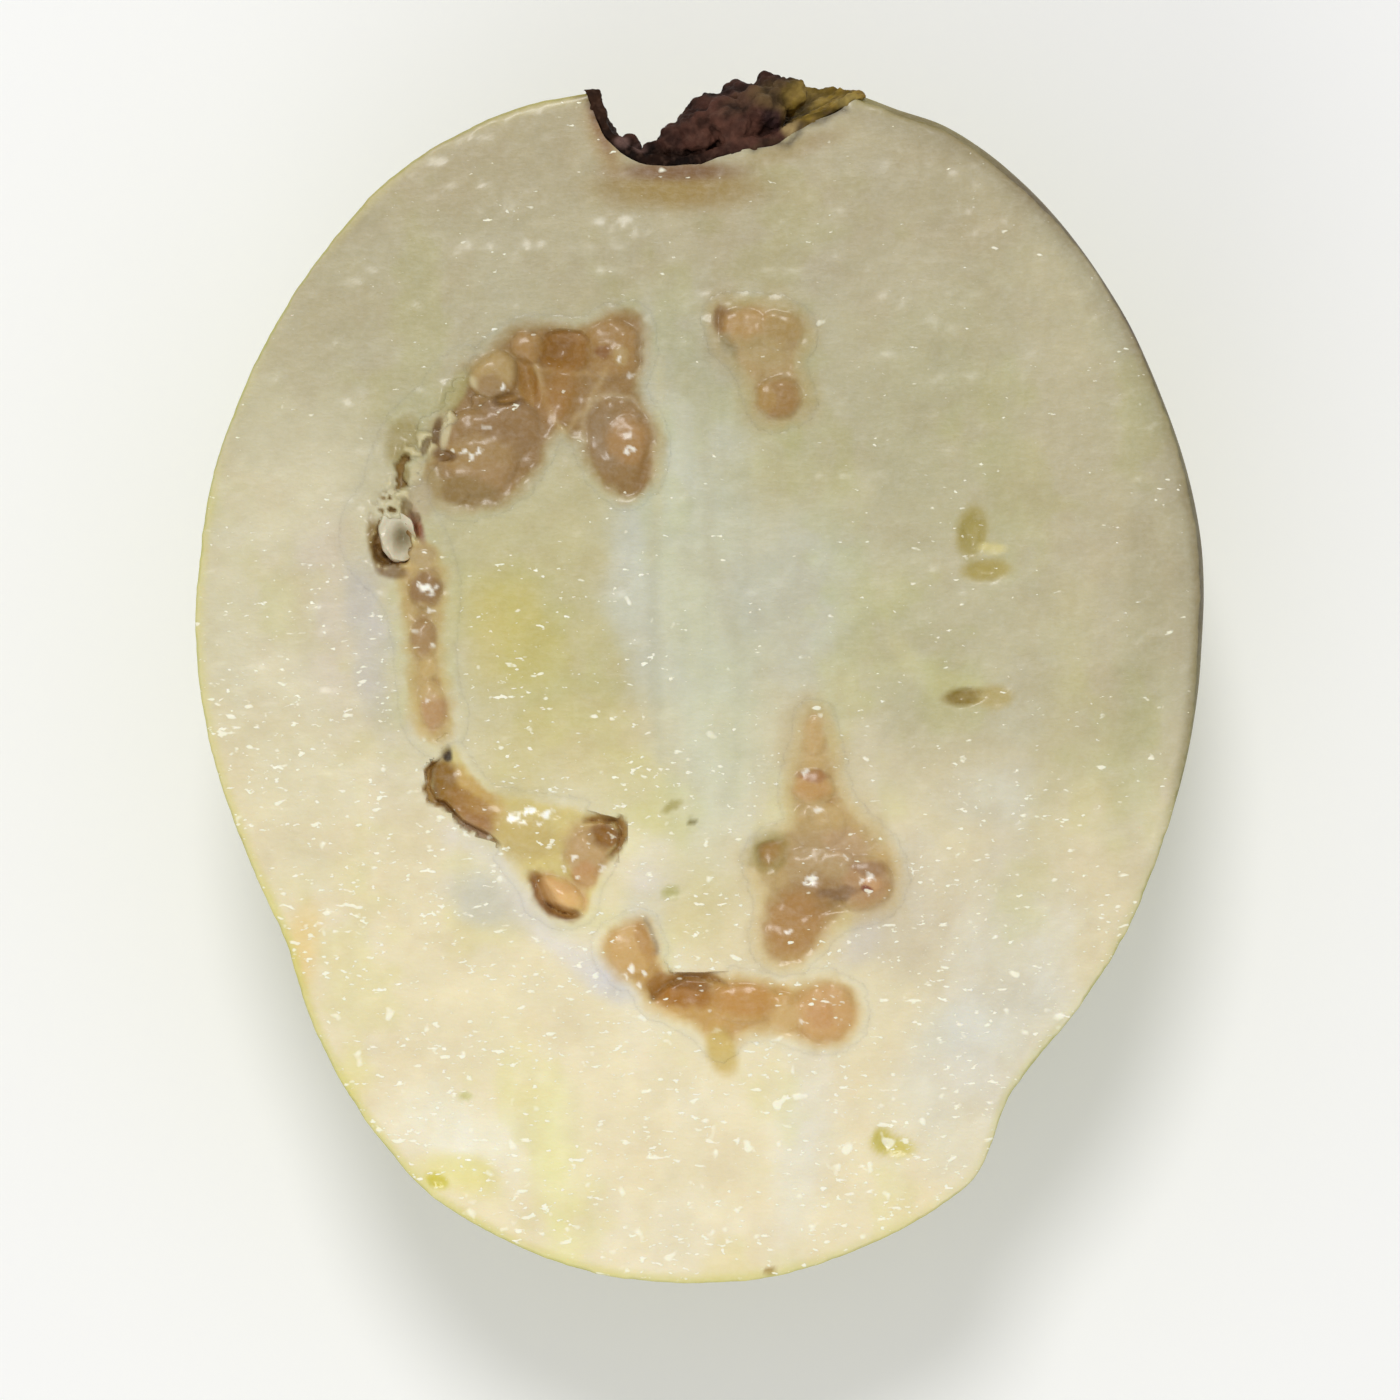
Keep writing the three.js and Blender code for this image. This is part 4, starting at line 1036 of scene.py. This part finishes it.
class Nodes:
    """Short calls for building a material's nodes."""

    def __init__(self, name):
        self.material = bpy.data.materials.new(name)
        self.material.use_nodes = True
        self.tree = self.material.node_tree
        self.shader = self.tree.nodes["Principled BSDF"]

    def add(self, kind, **settings):
        node = self.tree.nodes.new(kind)
        for key, value in settings.items():
            if key in node.inputs:
                node.inputs[key].default_value = value
            else:
                setattr(node, key, value)
        return node

    def feed(self, socket, value):
        """Sets a socket to a number or a colour, or links it to another node."""
        if isinstance(value, (int, float)):
            socket.default_value = value
        elif isinstance(value, (tuple, np.ndarray)):
            socket.default_value = (*value, 1)
        else:
            self.tree.links.new(value, socket)

    def set(self, **values):
        for key, value in values.items():
            self.shader.inputs[key.replace("_", " ")].default_value = value

    def link(self, **values):
        for key, value in values.items():
            self.feed(self.shader.inputs[key.replace("_", " ")], value)

    def noise(self, vector, scale, detail=3.0, roughness=0.55):
        node = self.add("ShaderNodeTexNoise", Scale=scale, Detail=detail, Roughness=roughness)
        self.feed(node.inputs["Vector"], vector)
        return node.outputs["Fac"]

    def ramp(self, value, low, high, start=0.0, end=1.0):
        node = self.add("ShaderNodeMapRange")
        self.feed(node.inputs["Value"], value)
        for key, number in (("From Min", low), ("From Max", high), ("To Min", start), ("To Max", end)):
            node.inputs[key].default_value = number
        return node.outputs["Result"]

    def math(self, operation, a, b):
        node = self.add("ShaderNodeMath", operation=operation)
        self.feed(node.inputs[0], a)
        self.feed(node.inputs[1], b)
        return node.outputs["Value"]

    def plus(self, a, b):
        return self.math("ADD", a, b)

    def times(self, a, b):
        return self.math("MULTIPLY", a, b)

    def mix(self, share, a, b, blend="MIX"):
        node = self.add("ShaderNodeMix", data_type="RGBA", blend_type=blend)
        for socket, value in zip((node.inputs[0], node.inputs[6], node.inputs[7]), (share, a, b)):
            self.feed(socket, value)
        return node.outputs[2]

    def attribute(self, name, output):
        return self.add("ShaderNodeAttribute", attribute_name=name).outputs[output]

    def position(self, scale=(1, 1, 1)):
        mapping = self.add("ShaderNodeMapping")
        mapping.inputs["Scale"].default_value = scale
        self.feed(mapping.inputs["Vector"], self.add("ShaderNodeTexCoord").outputs["Object"])
        return mapping.outputs["Vector"]

    def bump(self, height, strength, distance):
        node = self.add("ShaderNodeBump", Strength=strength, Distance=distance)
        self.feed(node.inputs["Height"], height)
        return node.outputs["Normal"]


def glints(nodes, vector, scale, high, gate, seed):
    """Painted glints of wet highlights: small uneven specks, 1 in the middle of each, in clumps where gate
    is high.
    """
    moved = nodes.add("ShaderNodeVectorMath", operation="ADD")
    nodes.feed(moved.inputs[0], vector)
    moved.inputs[1].default_value = (seed, seed * 0.37, seed * 0.71)
    spots = nodes.noise(moved.outputs["Vector"], scale, 1.5, 0.6)
    clumps = nodes.noise(moved.outputs["Vector"], scale * 0.12, 2)
    clumps = nodes.ramp(clumps, 0.35, 0.65, -0.06, 0.05)
    level = nodes.plus(spots, nodes.plus(clumps, nodes.times(gate, 0.085)))
    return nodes.ramp(level, high, high + 0.06)


def fruit_material(name, subsurface, has_skin):
    """Wet flesh, or the glassy pulp, coloured by the tone of each point."""
    nodes = Nodes(name)
    where = nodes.position()
    flat = nodes.position((1, 1.9, 1))
    tone = nodes.attribute("tone", "Color")
    wet = nodes.attribute("wet", "Fac")
    fine = nodes.noise(where, 2400, 3)
    grain = nodes.noise(flat, 1150, 2)
    tone = nodes.mix(nodes.ramp(grain, 0.3, 0.7, 0, 0.07), tone, (0.93, 0.9, 0.8), "MULTIPLY")
    tone = nodes.mix(nodes.ramp(fine, 0.4, 0.75, 0.0, 0.06), tone, (1, 0.99, 0.94))
    glint = glints(nodes, flat, 1500, 0.735, wet, 0.3)
    for vector, scale, high, seed, strength in ((flat, 850, 0.75, 0.9, 0.85), (where, 620, 0.765, 1.7, 0.8)):
        layer = nodes.times(glints(nodes, vector, scale, high, wet, seed), strength)
        glint = nodes.math("MAXIMUM", glint, layer)
    glint = nodes.times(glint, nodes.ramp(wet, 0, 0.03, 0, 0.9))
    # Painted highlights: the glints turn the base colour warm white
    tone = nodes.mix(glint, tone, (1, 0.98, 0.8))
    rough = nodes.math("SUBTRACT", nodes.ramp(grain, 0.3, 0.7, 0.52, 0.4), nodes.times(glint, 0.25))
    relief = nodes.plus(nodes.plus(nodes.times(grain, 0.7), nodes.times(fine, 0.3)), nodes.times(glint, 0.5))
    nodes.set(Subsurface_Weight=subsurface, Subsurface_Radius=(1.0, 0.8, 0.45), Subsurface_Scale=0.0016,
              Coat_Weight=0.3, Coat_Roughness=0.2, Specular_IOR_Level=0.5, IOR=1.38)
    if has_skin:
        skin = nodes.attribute("skin", "Fac")
        dots = nodes.ramp(nodes.noise(where, 900, 2), 0.58, 0.7, 0, 0.45)
        tone = nodes.mix(nodes.times(skin, dots), tone, srgb(140, 128, 66))
        blush = nodes.ramp(nodes.noise(where, 160, 3), 0.4, 0.7, 0, 0.35)
        tone = nodes.mix(nodes.times(skin, blush), tone, srgb(204, 198, 112))
        peel = nodes.ramp(skin, 0, 0.25)
        rough = nodes.plus(rough, nodes.times(peel, 0.15))
        nodes.link(Coat_Weight=nodes.ramp(peel, 0, 1, 0.3, 0.03),
                   Specular_IOR_Level=nodes.ramp(peel, 0, 1, 0.5, 0.18))
    nodes.link(Base_Color=tone, Roughness=rough, Normal=nodes.bump(relief, 0.5, 0.0002))
    return nodes.material


def calyx_material():
    nodes = Nodes("dried_calyx")
    where = nodes.position()
    coarse = nodes.noise(where, 520, 4, 0.65)
    fine = nodes.noise(where, 1700, 3)
    tone = nodes.attribute("tone", "Color")
    tone = nodes.mix(nodes.ramp(coarse, 0.4, 0.66, 0.0, 0.8), tone, (0.5, 0.46, 0.46), "MULTIPLY")
    tone = nodes.mix(nodes.ramp(fine, 0.5, 0.8, 0, 0.22), tone, srgb(128, 100, 86))
    nodes.link(Base_Color=tone, Roughness=nodes.ramp(fine, 0.3, 0.7, 0.6, 0.85),
               Normal=nodes.bump(nodes.plus(coarse, fine), 0.6, 0.0003))
    nodes.set(Specular_IOR_Level=0.1)
    return nodes.material


def seed_material():
    nodes = Nodes("pale_cut_seed")
    coarse = nodes.noise(nodes.position(), 700, 3)
    tone = nodes.attribute("tone", "Color")
    tone = nodes.mix(nodes.ramp(coarse, 0.35, 0.7, 0, 0.6), tone, (0.8, 0.76, 0.66), "MULTIPLY")
    nodes.link(Base_Color=tone, Roughness=nodes.ramp(coarse, 0.3, 0.7, 0.35, 0.55),
               Normal=nodes.bump(coarse, 0.5, 0.0003))
    nodes.set(Subsurface_Weight=0.15, Subsurface_Scale=0.001, Coat_Weight=0.3, Coat_Roughness=0.15)
    return nodes.material


def floor_material():
    nodes = Nodes("pale_floor")
    cloudy = nodes.ramp(nodes.noise(nodes.position(), 6, 2), 0.3, 0.7)
    nodes.link(Base_Color=nodes.mix(cloudy, (0.955, 0.955, 0.95), (0.965, 0.965, 0.96)))
    nodes.set(Roughness=0.9, Specular_IOR_Level=0.1)
    return nodes.material


# Camera, floor and light

def make_stage():
    bpy.ops.mesh.primitive_plane_add(size=4, location=(0, 0, -0.00005))
    floor = bpy.context.object
    floor.name = "floor"
    floor.data.materials.append(floor_material())


def make_camera():
    """The camera looks straight down on the cut face, with the calyx end up in the picture."""
    camera = bpy.data.objects.new("camera", bpy.data.cameras.new("camera"))
    camera.data.lens = camera.data.sensor_width * CAMERA_ABOVE / (PHOTO_SIDE * PIXEL_MM * MM)
    x, y = from_pixels(*PHOTO_MIDDLE)
    camera.location = (x * MM, y * MM, LEVEL * MM + CAMERA_ABOVE)
    bpy.context.scene.collection.objects.link(camera)
    bpy.context.scene.camera = camera


def area_light(name, place, size, power, aim=(0, 0, 0.02)):
    light = bpy.data.objects.new(name, bpy.data.lights.new(name, "AREA"))
    light.data.shape = "DISK"
    light.data.size = size
    light.data.energy = power
    light.location = place
    light.rotation_euler = (Vector(aim) - Vector(place)).to_track_quat("-Z", "Y").to_euler()
    bpy.context.scene.collection.objects.link(light)


def make_lights():
    world = bpy.data.worlds.new("studio")
    world.use_nodes = True
    background = world.node_tree.nodes["Background"]
    background.inputs["Color"].default_value = (1, 1, 1, 1)
    background.inputs["Strength"].default_value = 0.6
    bpy.context.scene.world = world
    area_light("key", (-0.06, 0.42, 0.95), 0.24, 3.6)
    area_light("low_fill", (-0.3, -0.7, 0.6), 0.6, 1.5)


scene = bpy.context.scene
scene.view_settings.view_transform = "Standard"
scene.view_settings.look = "None"

flesh = make_flesh()
flesh.data.materials.clear()
flesh.data.materials.append(fruit_material("wet_guava_flesh", 0.22, True))
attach(flesh, "root")
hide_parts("flesh")

pulp_look = fruit_material("glassy_seed_pulp", 0.3, False)
for name, pocket in POCKETS.items():
    piece = make_pulp(name, pocket)
    piece.data.materials.append(pulp_look)
    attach(piece, "root")
    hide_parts(pocket["node"])

calyx = make_calyx()
calyx.data.materials.clear()
calyx.data.materials.append(calyx_material())
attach(calyx, "root")
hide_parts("calyx")

cut_seed = make_cut_seed()
cut_seed.data.materials.append(seed_material())
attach(cut_seed, "root")
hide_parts("seed_white")

make_stage()
make_camera()
make_lights()
